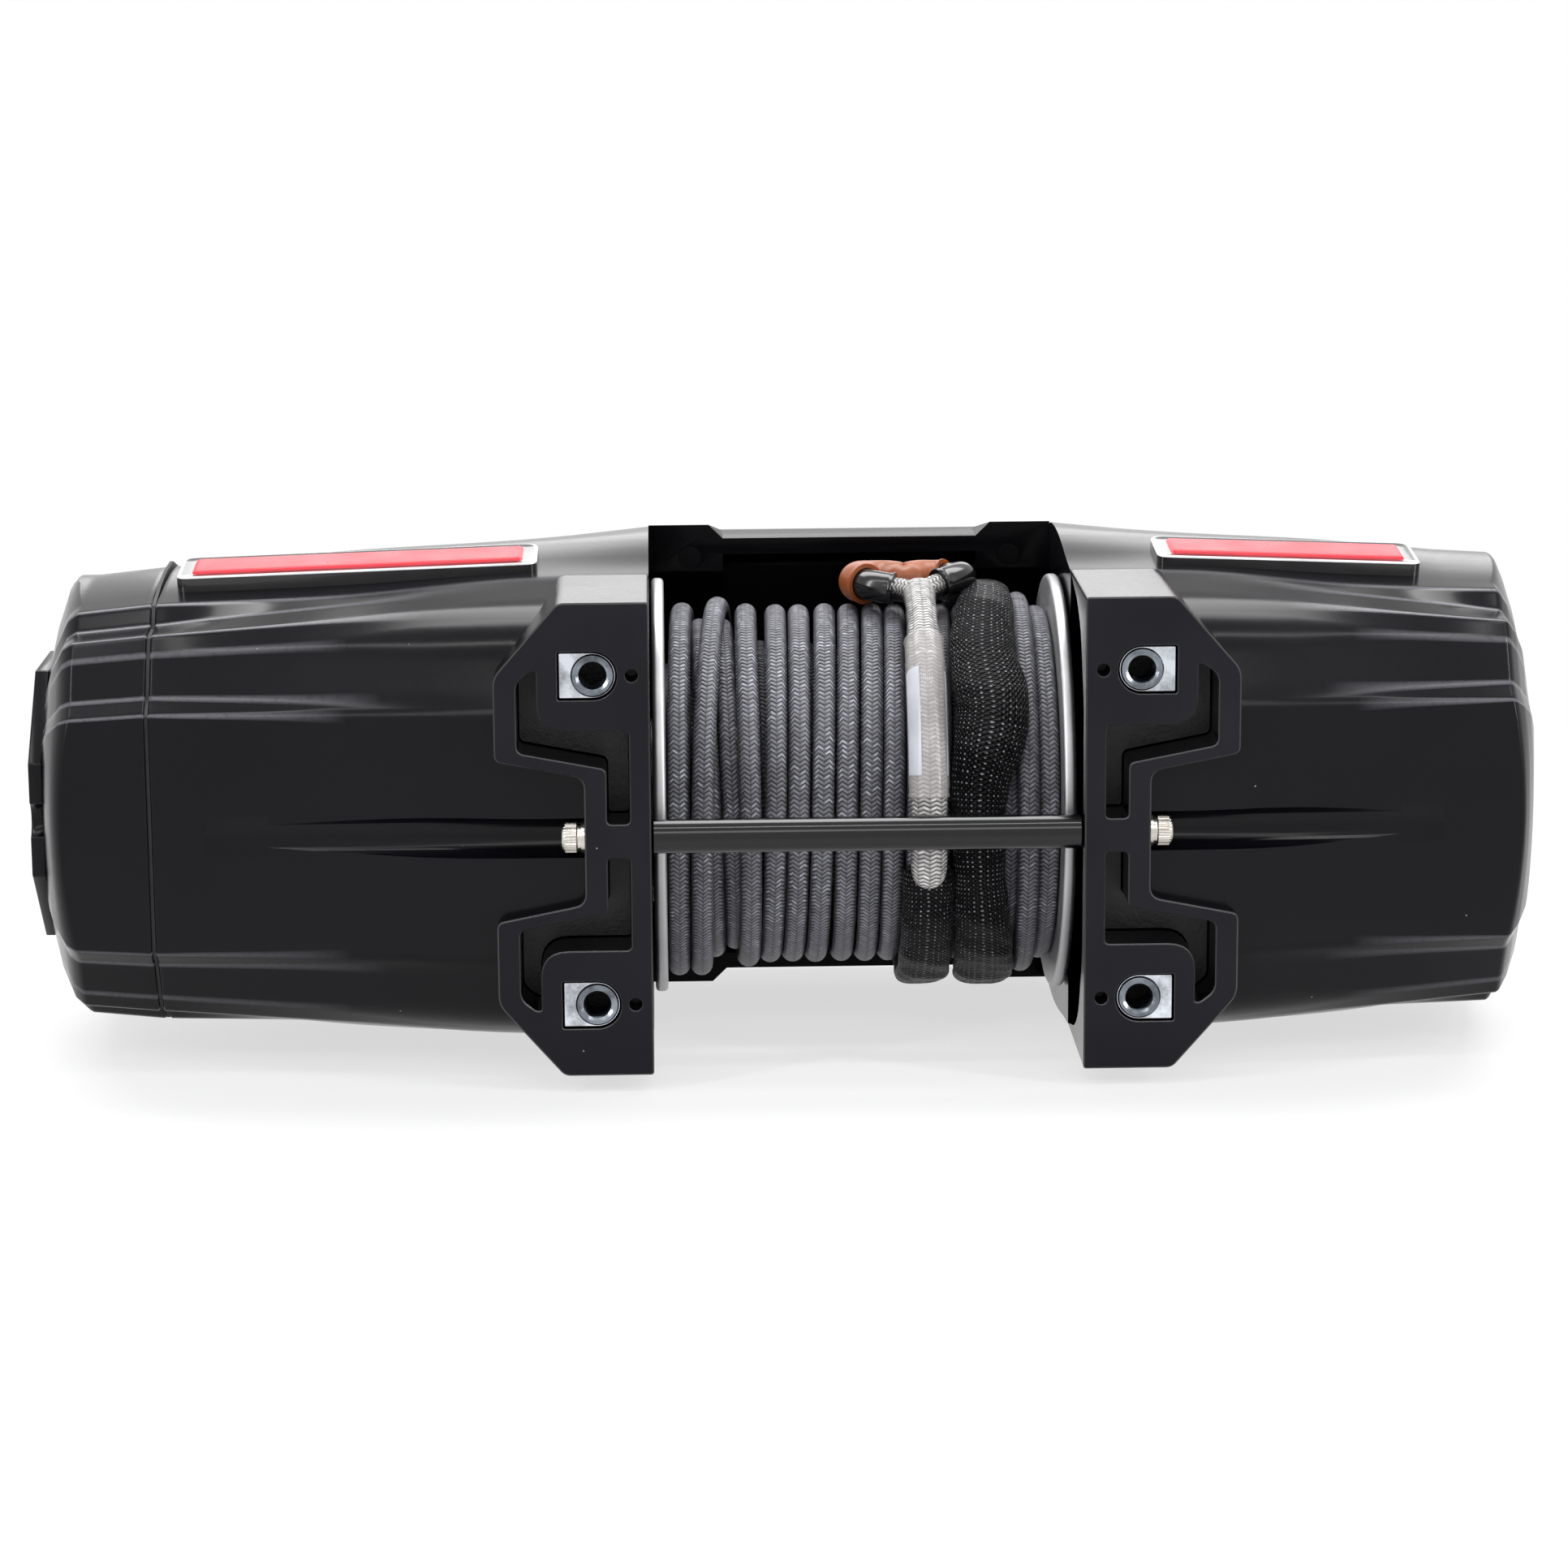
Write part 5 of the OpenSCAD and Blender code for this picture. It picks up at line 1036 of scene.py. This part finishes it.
rod_piece = pin("rod_round", -INNER_S, INNER_S, ROD_R, GLOSS_COAT, 64, edge=0.6)
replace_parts(rod_piece, "tie_rod")
print("drum and rod turned")

# %% [markdown]
# A path on the drum is a distance x along it, a radius r and an angle turned up from
# the front. A tube follows it with a ring square to the path at each step. The rope's
# outer layer is such a tube, eighteen close loops with the little wander of a real wind.

# %% Tubes that follow the drum
def on_drum(x, r, turn):
    """Point at x along the drum, r from its axis, turned up from the front, in degrees."""
    t = np.radians(turn)
    return np.stack([x + 0 * t, AXIS_Y - r * np.cos(t), r * np.sin(t) + 0 * x], -1)


def unit(vectors):
    """The same directions with length 1."""
    return vectors / np.linalg.norm(vectors, axis=1, keepdims=True)


def frames(path):
    """Unit vectors square to a path: one away from the drum's axis, and one across."""
    along = unit(np.gradient(path, axis=0))
    away = unit((path - [0, AXIS_Y, 0]) * [0, 1, 1])
    out = unit(away - np.sum(away * along, 1, keepdims=True) * along)
    return out, np.cross(along, out)


def tube_along(path, radius, sides):
    """Rings of a tube whose radius may change along the path."""
    out, across = frames(path)
    a = np.linspace(0, 2 * np.pi, sides, endpoint=False)[None, :, None]
    radius = np.broadcast_to(np.asarray(radius, float), len(path))[:, None, None]
    return path[:, None] + radius * (out[:, None] * np.cos(a) + across[:, None] * np.sin(a))


def tube_piece(name, path, radius, sides, finish):
    """A tube on the drum with UV in millimetres along it and turns round it."""
    length = np.concatenate([[0], np.cumsum(np.linalg.norm(np.diff(path, axis=0), axis=1))])
    uv = grid_uv(length, np.arange(sides + 1) / sides)
    return piece(name, *tube_of(tube_along(path, radius, sides)), finish, uv=uv, body="drum", sharp=50)


ROPE_R, ROPE_GAP, ROPE_X = 2.62, 5.27, FLANGE_IN - 2.7
ROPE_LOW_R, ROPE_HIGH_R = 37.0, 44.0
LOOP_TURNS = np.array([-75, -45, -15, 15, 45, 75])
# Each loop of the rope: its places along the drum at these turns, then its distance
# from the axis at the front and below
LOOPS = np.array([
    [-42.8, -42.9, -42.9, -42.9, -42.6, -42.0, 40.3, 43.4],
    [-37.2, -37.5, -37.9, -38.4, -37.0, -33.8, 41.3, 43.4],
    [-32.8, -33.0, -33.9, -34.5, -36.3, -37.6, 37.2, 37.6],
    [-29.8, -30.0, -30.4, -31.2, -32.0, -32.6, 37.0, 37.3],
    [-26.6, -26.1, -25.6, -26.2, -27.0, -26.9, 40.6, 40.6],
    [-21.2, -21.0, -20.5, -20.2, -19.7, -19.5, 40.3, 40.3],
    [-15.8, -15.9, -15.5, -14.9, -14.3, -14.0, 40.2, 40.2],
    [-10.3, -10.6, -10.2, -9.3, -8.5, -7.9, 40.4, 40.4],
    [-4.0, -4.5, -4.5, -4.0, -3.2, -2.3, 40.2, 40.2],
    [1.6, 1.1, 1.2, 1.7, 2.5, 3.4, 40.3, 40.3],
    [7.1, 6.3, 6.2, 6.7, 7.6, 8.6, 40.2, 40.2],
    [12.6, 12.0, 11.8, 12.1, 12.9, 13.9, 40.0, 40.0],
    [18.0, 17.6, 17.3, 17.5, 18.2, 19.4, 40.0, 40.0],
    [23.4, 23.0, 22.7, 22.9, 23.6, 24.8, 40.0, 40.0],
    [28.8, 28.4, 28.1, 28.3, 29.0, 30.2, 40.0, 40.0],
    [35.0, 34.4, 33.6, 33.7, 34.8, 35.6, 37.8, 40.4],
    [39.6, 38.6, 38.3, 38.6, 38.9, 39.0, 41.6, 43.0],
    [42.6, 42.8, 42.8, 42.8, 42.8, 42.9, 40.2, 40.6],
])
STEPS = 48
LAPS = (STEPS, 2 * STEPS, 3 * STEPS)
PASSES, EASE = 300, 0.06


def lay_loops():
    """Curve through the table's places, then loops that touch are pushed apart: at each
    turn the distance between two of them is made at least a rope's width, and the curve
    is eased a little after each pass."""
    count = len(LOOPS)
    turn = (np.arange(count)[:, None] * 360 + LOOP_TURNS).ravel()
    front, below = LOOPS[:, 6:7], LOOPS[:, 7:8]
    share = np.array([1, 0.45, 0, 0, 0, 0])
    knots = np.stack([LOOPS[:, :6].ravel(), (front + (below - front) * share).ravel()], 1)
    at = np.arange(-100, 360 * count - 180, 360 / STEPS)
    x, r = smooth_stations(at, turn, knots).T.copy()
    for _ in range(PASSES):
        for lap in LAPS:
            dx, dr = x[lap:] - x[:-lap], r[lap:] - r[:-lap]
            space = np.maximum(np.hypot(dx, dr), 1e-6)
            push = 0.25 * np.maximum(ROPE_GAP - space, 0) / space
            for place, step in ((x, dx), (r, dr)):
                place[lap:] += push * step
                place[:-lap] -= push * step
        x, r = np.clip(x, -ROPE_X, ROPE_X), np.clip(r, ROPE_LOW_R, ROPE_HIGH_R)
        for place in (x, r):
            place[1:-1] += EASE * (place[2:] + place[:-2] - 2 * place[1:-1])
    least = min(np.hypot(x[lap:] - x[:-lap], r[lap:] - r[:-lap]).min() for lap in LAPS)
    print("least distance between two runs of rope, in mm:", round(float(least), 2))
    fine = np.linspace(at[0], at[-1], 100 * count)
    x, r = smooth_stations(fine, at, np.column_stack([x, r])).T
    return on_drum(x, r, fine)


rope_piece = tube_piece("rope_layer", lay_loops(), ROPE_R, 20, ROPE_BRAID)
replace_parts(rope_piece, "rope_wraps")
print("faces in the rope:", len(rope_piece.data.polygons))

# %% [markdown]
# Between the loops the next layer down can be seen. It was wound the other way, so it
# leans the other way, and it needs fewer faces. It stands for the buried rope, with a
# plain bed under it that closes the last gaps.

# %% Layer below
UNDER_R, UNDER_LOOPS, UNDER_STEPS, UNDER_WANDER = 31.7, 16, 60, 0.3
under_turn = np.linspace(0, 360 * UNDER_LOOPS, UNDER_LOOPS * UNDER_STEPS)
under_x = np.linspace(ROPE_X, -ROPE_X, len(under_turn))
under_x = under_x + UNDER_WANDER * np.sin(np.radians(under_turn * 0.83))
under_x = np.clip(under_x, -ROPE_X, ROPE_X)
under_piece = tube_piece("rope_under", on_drum(under_x, UNDER_R, under_turn), ROPE_R, 14, ROPE_BRAID)
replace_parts(under_piece, "rope_core")
bed_x, bed_low, bed_high = FLANGE_IN - 0.05, BARREL_R + 0.05, UNDER_R - ROPE_R - 0.1
bed_profile = [(-bed_x, bed_low), (-bed_x, bed_high), (bed_x, bed_high), (bed_x, bed_low)]
bed_piece = lathe("rope_bed", bed_profile, ROPE_BRAID, body="drum")
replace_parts(bed_piece, "rope_core")

# %% [markdown]
# A black woven tube slides over the rope where it would rub. Empty, it lies flat, so
# here it is a soft flattened tube on the outer layer, creased where it turns.

# %% Woven sleeve
# Turn, place along the drum and half width of the sleeve, as it shows at the front
SLEEVE_ROUTE = np.array([
    [-520, 34.5, 6.2], [-480, 32.5, 6.6], [-435, 29.5, 7.0], [-420, 29.0, 7.1], [-405, 28.3, 6.9],
    [-398, 28.0, 6.6], [-382, 27.0, 6.0], [-375, 26.6, 5.9], [-357, 26.1, 6.2], [-348, 26.6, 6.8],
    [-343, 27.6, 7.6], [-338, 28.5, 8.1], [-332, 29.7, 8.3], [-327, 30.1, 8.5], [-322, 29.7, 8.7],
    [-315, 28.7, 8.3], [-308, 28.0, 7.7], [-300, 28.4, 7.3], [-290, 29.3, 6.9], [-280, 30.4, 6.5],
    [-268, 31.0, 5.4], [-250, 29.5, 5.6], [-200, 24.0, 6.2], [-110, 15.4, 6.3], [-60, 14.8, 6.2],
    [0, 14.7, 5.8]])
SLEEVE_START, SLEEVE_TURNS = -13.0, 1.348
SLEEVE_R, SLEEVE_T, SLEEVE_ROUND = 43.05, 5.4, 36.8
SIDES, SOFTEN = 56, 17


def sleeve_rings():
    """Rings of the flat tube, and the length to each. Swell and crease are products of
    slow and fast waves along the length that shift round it; they lift only the outer
    side. A power below 1 of sine and cosine squares the oval."""
    turn = np.linspace(SLEEVE_START, SLEEVE_START - 360 * SLEEVE_TURNS, 640)
    kernel = np.hanning(SOFTEN) / np.hanning(SOFTEN).sum()
    x, half_wide = (np.interp(turn, SLEEVE_ROUTE[:, 0], SLEEVE_ROUTE[:, k]) for k in (1, 2))
    x, half_wide = (np.convolve(np.pad(v, SOFTEN // 2, mode="edge"), kernel, "valid") for v in (x, half_wide))
    path = on_drum(x, SLEEVE_R + SLEEVE_T / 2, turn)
    out, across = frames(path)
    a = np.linspace(0, 2 * np.pi, SIDES, endpoint=False)
    ca, sa = np.cos(a), np.sin(a)
    run = np.arange(len(path)) * np.linalg.norm(path[1] - path[0])
    s = run[:, None]
    swell = 0.5 * np.sin(s * 0.33 + 2 * ca + 1.2 * sa) * np.sin(s * 0.13 + 0.6)
    crease = 0.35 * np.sin(s * 0.9 + 3 * sa) * np.sin(s * 0.23 + 1.7) * (0.3 + 0.7 * np.abs(sa))
    thick = SLEEVE_T / 2 * (1 + 0.05 * np.sin(s * 0.11)) + (crease + swell) * (ca > -0.2)
    wide = half_wide[:, None] * (1 + 0.02 * np.sin(s * 0.47))
    taper = np.clip(np.minimum(s, run[-1] - s) / 2.5, 0, 1) ** 0.5 * 0.35 + 0.65
    up = thick * taper * np.sign(ca) * np.abs(ca) ** 0.8
    side = wide * taper * np.sign(sa) * np.abs(sa) ** 0.75
    return path[:, None] + out[:, None] * up[..., None] + across[:, None] * side[..., None], run


rings, run_mm = sleeve_rings()
sleeve_piece = piece("woven_sleeve", *tube_of(rings), SLEEVE_WEAVE, body="drum", sharp=60,
                     uv=grid_uv(run_mm, np.arange(SIDES + 1) / SIDES * SLEEVE_ROUND))
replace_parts(sleeve_piece, "rope_sleeve")

# %% [markdown]
# The rope's end is doubled and spliced into a fat braid under clear heat-shrink, and
# opens into an eye that a black tube and an amber sleeve protect. A blank paper label
# is wrapped round the splice inside the heat-shrink.

# %% Splice, eye and heat-shrink
SPLICE_X, SPLICE_R, SPLICE_PATH_R = 14.7, 4.25, 47.4
SPLICE_LOW, SPLICE_HIGH = -18.5, 80.0
TUBE_R, AMBER_R = 3.8, 4.9
# The eye as places along the drum, turns and distances from the axis, from the fork to
# the left, behind, and back on the right
EYE = np.array([
    [14.6, 80.0, 47.5], [11.0, 82.0, 48.0], [6.8, 83.4, 48.4], [2.8, 86.4, 48.6], [0.9, 92.6, 48.4],
    [3.2, 98.6, 48.3], [7.8, 100.4, 48.3], [11.8, 96.2, 47.9], [15.8, 100.2, 48.3], [20.2, 100.6, 48.3],
    [24.2, 97.0, 48.8], [25.2, 91.6, 49.3], [22.8, 87.0, 49.3], [18.6, 83.2, 48.6], [14.8, 80.0, 47.5]])


def eye_path(t):
    """Smooth curve through the eye's places, for shares t from 0 to 1 of the way round."""
    x, turn, r = smooth_stations(np.asarray(t) * (len(EYE) - 1), np.arange(len(EYE)), EYE).T
    return on_drum(x, r, turn)


def on_splice(start, end, count):
    """Points along the middle of the splice, between two turns."""
    return on_drum(SPLICE_X, SPLICE_PATH_R, np.linspace(start, end, count))


ROUND_SIDES = 40
splice_shape = np.interp(np.linspace(0, 1, 160), [0, 0.008, 0.03, 0.06, 0.7, 0.8, 0.92, 1],
                         [0.35, 0.7, 0.93, 1, 1, 0.86, 0.84, 0.96])
splice_piece = tube_piece("spliced_rope", on_splice(SPLICE_LOW, SPLICE_HIGH + 1, 160),
                          SPLICE_R * splice_shape, ROUND_SIDES, SPLICE_BRAID)
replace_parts(splice_piece, "rope_splice")
for name, start, end in (("eye_strand_left", 0.0, 0.14), ("eye_strand_right", 1.0, 0.87)):
    strand = tube_piece(name, eye_path(np.linspace(start, end, 40)), ROPE_R + 0.15, 24, SPLICE_BRAID)
    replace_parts(strand, "rope_splice")


LIP_AT, LIP_WIDTH = 1.2, 1.4


def hollow_tube(name, path, outer, inner, finish, lip):
    """A tube with a wall: the outside, back through the inside, joined at both ends, with
    a raised ring near each end: lip times e to the power -((step-1.2)/1.4)^2."""
    t = np.arange(len(path))
    near = np.minimum(t, len(path) - 1 - t)
    swell = lip * np.exp(-((near - LIP_AT) / LIP_WIDTH) ** 2)
    outside = tube_along(path, outer + swell, ROUND_SIDES)
    inside = tube_along(path, inner, ROUND_SIDES)[::-1]
    return piece(name, *loop_of(np.concatenate([outside, inside])), finish, body="drum")


shrink_step = np.interp(np.linspace(0, 1, 140), [0, 0.02, 0.05, 0.06, 0.83, 0.84, 0.98, 1],
                        [0.36, 0.36, 0.36, 0.5, 0.5, 0.36, 0.36, 0.3])
shrink = hollow_tube("clear_shrink", on_splice(7.5, 55, 140), SPLICE_R + shrink_step,
                     SPLICE_R + 0.12, CLEAR, lip=0.22)
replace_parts(shrink, "heat_shrink")
tube_t = np.linspace(0.108, 0.912, 190)
tube = hollow_tube("eye_tube", eye_path(tube_t), TUBE_R - 0.1, ROPE_R + 0.25, TUBE_BLACK, lip=0.4)
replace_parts(tube, "thimble_tube")
amber_t = np.linspace(0.225, 0.67, 150)
KINK_AT, KINK_WIDTH, KINK_DEEP = 0.5, 0.014, 0.8
kink = -KINK_DEEP * np.exp(-((amber_t - KINK_AT) / KINK_WIDTH) ** 2)
amber = hollow_tube("amber_sleeve", eye_path(amber_t), AMBER_R - 0.1 + kink, TUBE_R + 0.05, AMBER, lip=0.15)
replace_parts(amber, "thimble_sleeve")

LABEL_N, LABEL_R, LABEL_T = 60, SPLICE_R + 0.3, 0.05
label_path = on_splice(13.3, 43.0, LABEL_N)
swing = np.radians(np.linspace(-24, -292, LABEL_N))[None, :, None]
out, across = frames(label_path)
label_rings = label_path[:, None] + LABEL_R * (out[:, None] * np.cos(swing) + across[:, None] * np.sin(swing))
label = piece("blank_label", label_rings.reshape(-1, 3),
              grid_faces(LABEL_N, LABEL_N, wrap_columns=False).tolist(), LABEL, body="drum")
label.modifiers.new("thickness", "SOLIDIFY").thickness = LABEL_T * MM
print("rope end made")

# %% [markdown]
# The captive nuts show their bright faces in the recesses: a plate round towards the
# drum and square away from it, with a raised ring and a threaded bore. A socket-head
# screw holds each end of the tie rod, and its knurled rim shows through the channel.

# %% Nuts and screws
NUT_T, NUT_RING_R, THREAD_R, THREAD_ROOT_R, THREAD_PITCH = 7.4, 4.95, 3.2, 3.75, 1.25
NUT_BRIGHT, NUT_SHADED = 0, 1


def nut_slab():
    """Nut plate with its ring and a bore whose radius goes up and down as a thread."""
    slab = Slab()

    def round_ring(r, y):
        return slab.ring(circle(NUT_S, NUT_Z, r, 40), y)

    outline = nut_outline(-0.1)
    face = slab.ring(inset(outline, 0.25), NUT_SINK)
    side = slab.ring(outline, NUT_SINK + 0.25)
    back = slab.ring(outline, NUT_SINK + NUT_T)
    ring_foot = round_ring(NUT_RING_R, NUT_SINK)
    ring_top = round_ring(NUT_RING_R - 0.35, NUT_SINK - 0.4)
    last = round_ring(THREAD_ROOT_R + 0.1, NUT_SINK - 0.5)
    slab.band(face, side, NUT_BRIGHT)
    slab.band(side, back, NUT_BRIGHT)
    slab.sheet(face, [ring_foot], NUT_BRIGHT)
    # Painted shade: the raised ring and the bore's thread take the darker zinc
    slab.band(ring_foot, ring_top, NUT_SHADED)
    slab.band(ring_top, last, NUT_SHADED)
    for step, y in enumerate(np.arange(NUT_SINK - 0.1, NUT_SINK + NUT_T, THREAD_PITCH / 2)):
        ring = round_ring(THREAD_ROOT_R if step % 2 else THREAD_R, y)
        slab.band(last, ring, NUT_SHADED)
        last = ring
    end = round_ring(THREAD_R, NUT_SINK + NUT_T)
    slab.band(last, end, NUT_BRIGHT)
    slab.sheet(back, [end], NUT_BRIGHT)
    return slab


NUT = nut_slab()
points, faces = [], []
for way_x in (1, -1):
    for way_z in (1, -1):
        faces += [[k + len(points) for k in f] for f in NUT.faces]
        points += [(way_x * x, y, way_z * z) for x, y, z in NUT.points]
nuts = piece("captive_nuts", points, faces, [ZINC, SHADED_ZINC], kinds=NUT.kinds * 4, sharp=30)
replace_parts(nuts, "mount_nuts")


KNURLS, KNURL_DEEP = 36, 0.12


def screw_head(name, s, r, height, way):
    """Socket head: a knurled rim whose radius ripples round it, and a six-sided socket
    r/2 from axis to flat."""
    count = 144
    a = np.linspace(0, 2 * np.pi, count, endpoint=False)
    plain, knurled = 0 * a, r - KNURL_DEEP * (np.cos(a * KNURLS) > 0)
    hexagon = r * 0.5 / np.cos((a + np.pi / 6) % (np.pi / 3) - np.pi / 6)
    rows = [(0, plain + r - 0.3), (0.35, knurled), (height - 0.7, knurled), (height - 0.35, plain + r - 0.2),
            (height, plain + r - 0.5), (height, hexagon + 0.15), (height - 0.2, hexagon),
            (height / 2, hexagon), (height / 2, plain + NEAR_AXIS)]
    rings = np.stack([np.stack([np.full(count, way * (s + x)), ROD_Y + radius * np.cos(a),
                                radius * np.sin(a)], 1) for x, radius in rows])
    made = piece(name, *tube_of(rings), STAINLESS, sharp=25)
    return made


SCREW_S, SHANK_R = WEB_OUT + 1.6, 2.0
for name, way in (("rod_screw_right", 1), ("rod_screw_left", -1)):
    head = screw_head(name, SCREW_S, 3.5, 3.6, way)
    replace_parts(head, "tie_rod_screws")
    shank = pin(name + "_shank", way * (INNER_S - 8), way * (SCREW_S + 0.2), SHANK_R, STAINLESS, 32)
    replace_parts(shank, "tie_rod_screws")

# %% [markdown]
# Pieces whose solid already has the right shape only lack a softened edge. A copy is
# merged into one skin, flat areas become single faces again, and a small bevel rounds
# the edges.

# %% Bevelled copies of solids
JOIN_FLAT, BEVEL_FROM = math.radians(1.5), math.radians(32)


def softened(node, name, finish, width, segments=2, body="housing"):
    """Copy of a node's skin with its flat areas joined and its sharp edges bevelled."""
    mesh = frame["nodes"][node].data.copy()
    face_outwards(mesh, merge=2e-6, join_flat=JOIN_FLAT)
    mesh.materials.clear()
    mesh.materials.append(finish)
    mesh.shade_smooth()
    made = link(name, mesh)
    bevel = made.modifiers.new("soft_edges", "BEVEL")
    bevel.width, bevel.segments, bevel.limit_method = width * MM, segments, "ANGLE"
    bevel.angle_limit, bevel.harden_normals = BEVEL_FROM, True
    bpy.context.view_layer.update()
    bake_modifiers(made)
    made.data.set_sharp_from_angle(angle=math.radians(40))
    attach(made, body)
    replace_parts(made, node)


softened("drum_cover", "cover_casting", COVER_COAT, 0.5, 3)
softened("clutch_dial", "dial_casting", BLACK_COAT, 0.4, body="dial")
softened("terminal_studs", "stud_pair", BRONZE, 0.5)
softened("terminal_nuts", "stud_nuts", ZINC, 0.4)
softened("terminal_insulators", "stud_insulators", INSULATOR, 0.4)

# %% [markdown]
# The two badges on the housings' tops are kept blank: a black plate with a pale rim
# and a plain red raised field that follows the casting.

# %% Blank badges
# Inset and height over the solid's top of each level, from the skirt to the field
LEVELS = [(0.0, -0.35), (0.25, -0.1), (0.9, 0.0), (1.3, -0.15), (3.4, -0.1),
          (3.8, 0.35), (4.4, 0.5), (4.7, 0.5), (5.2, 0.5)]
BADGE_FINISHES = [PLATE_BLACK, PLATE_EDGE, PLATE_RED]
BADGE_BANDS, BADGE_ENDS = (0, 1, 1, 0, 0, 2, 2, 2, 2), [0, 2]


def badge(name, node):
    """Rounded plate on the solid's own place: a dark border, a pale rim, a red field.
    The three axes of the solid's corners give its long way, its short way and up."""
    vertices = frame["nodes"][node].data.vertices
    co = np.empty(len(vertices) * 3)
    vertices.foreach_get("co", co)
    co = np.unique(np.round(co.reshape(-1, 3) / MM, 4), axis=0)
    centre = co.mean(0)
    axes = np.linalg.svd(co - centre)[2]
    half_l, half_w, half_t = np.ptp((co - centre) @ axes.T, axis=0) / 2
    long_way, short_way, up = axes
    up = up * np.sign(up[2])
    rings = []
    for amount, lift in [(0.0, -2 * half_t - 2)] + LEVELS:
        loop = rounded(rectangle(half_l - amount, half_w - amount), max(1.0, 3.0 - 0.5 * amount), 10)
        rings.append(centre + loop[:, :1] * long_way + loop[:, 1:] * short_way + (half_t + lift) * up)
    rings = np.array(rings)
    kinds = np.concatenate([np.repeat(BADGE_BANDS, rings.shape[1]), BADGE_ENDS])
    made = piece(name, *tube_of(rings), BADGE_FINISHES, kinds=kinds, sharp=30)
    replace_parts(made, node)


badge("gear_badge", "gear_side_plate")
badge("motor_badge", "motor_side_plate")

# %% [markdown]
# Every solid that stays in view, or inside, gets the finish of what it is made of.

# %% Finishes of the remaining solids
SOLID_FINISHES = {
    "end_cap_gasket": RUBBER, "cover_screws": STAINLESS, "cover_plugs": COVER_COAT,
    "tie_rod_washers": STAINLESS, "drum_bushes": BRONZE, "drum_seals": RUBBER,
    "motor_end_plate": CAST_ALLOY, "magnets": FERRITE, "brush_plate": BRONZE, "brushes": CARBON,
    "motor_bearings": STAINLESS, "armature_windings": COPPER, "commutator": COPPER,
}
replaced = {n for o in bpy.data.objects if "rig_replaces" in o for n in o["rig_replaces"]}
for node in sorted(frame["nodes"].keys() - replaced):
    materials = frame["nodes"][node].data.materials
    materials.clear()
    materials.append(SOLID_FINISHES.get(node, GEAR_STEEL))
print("solids kept:", len(frame["nodes"]) - len(replaced))
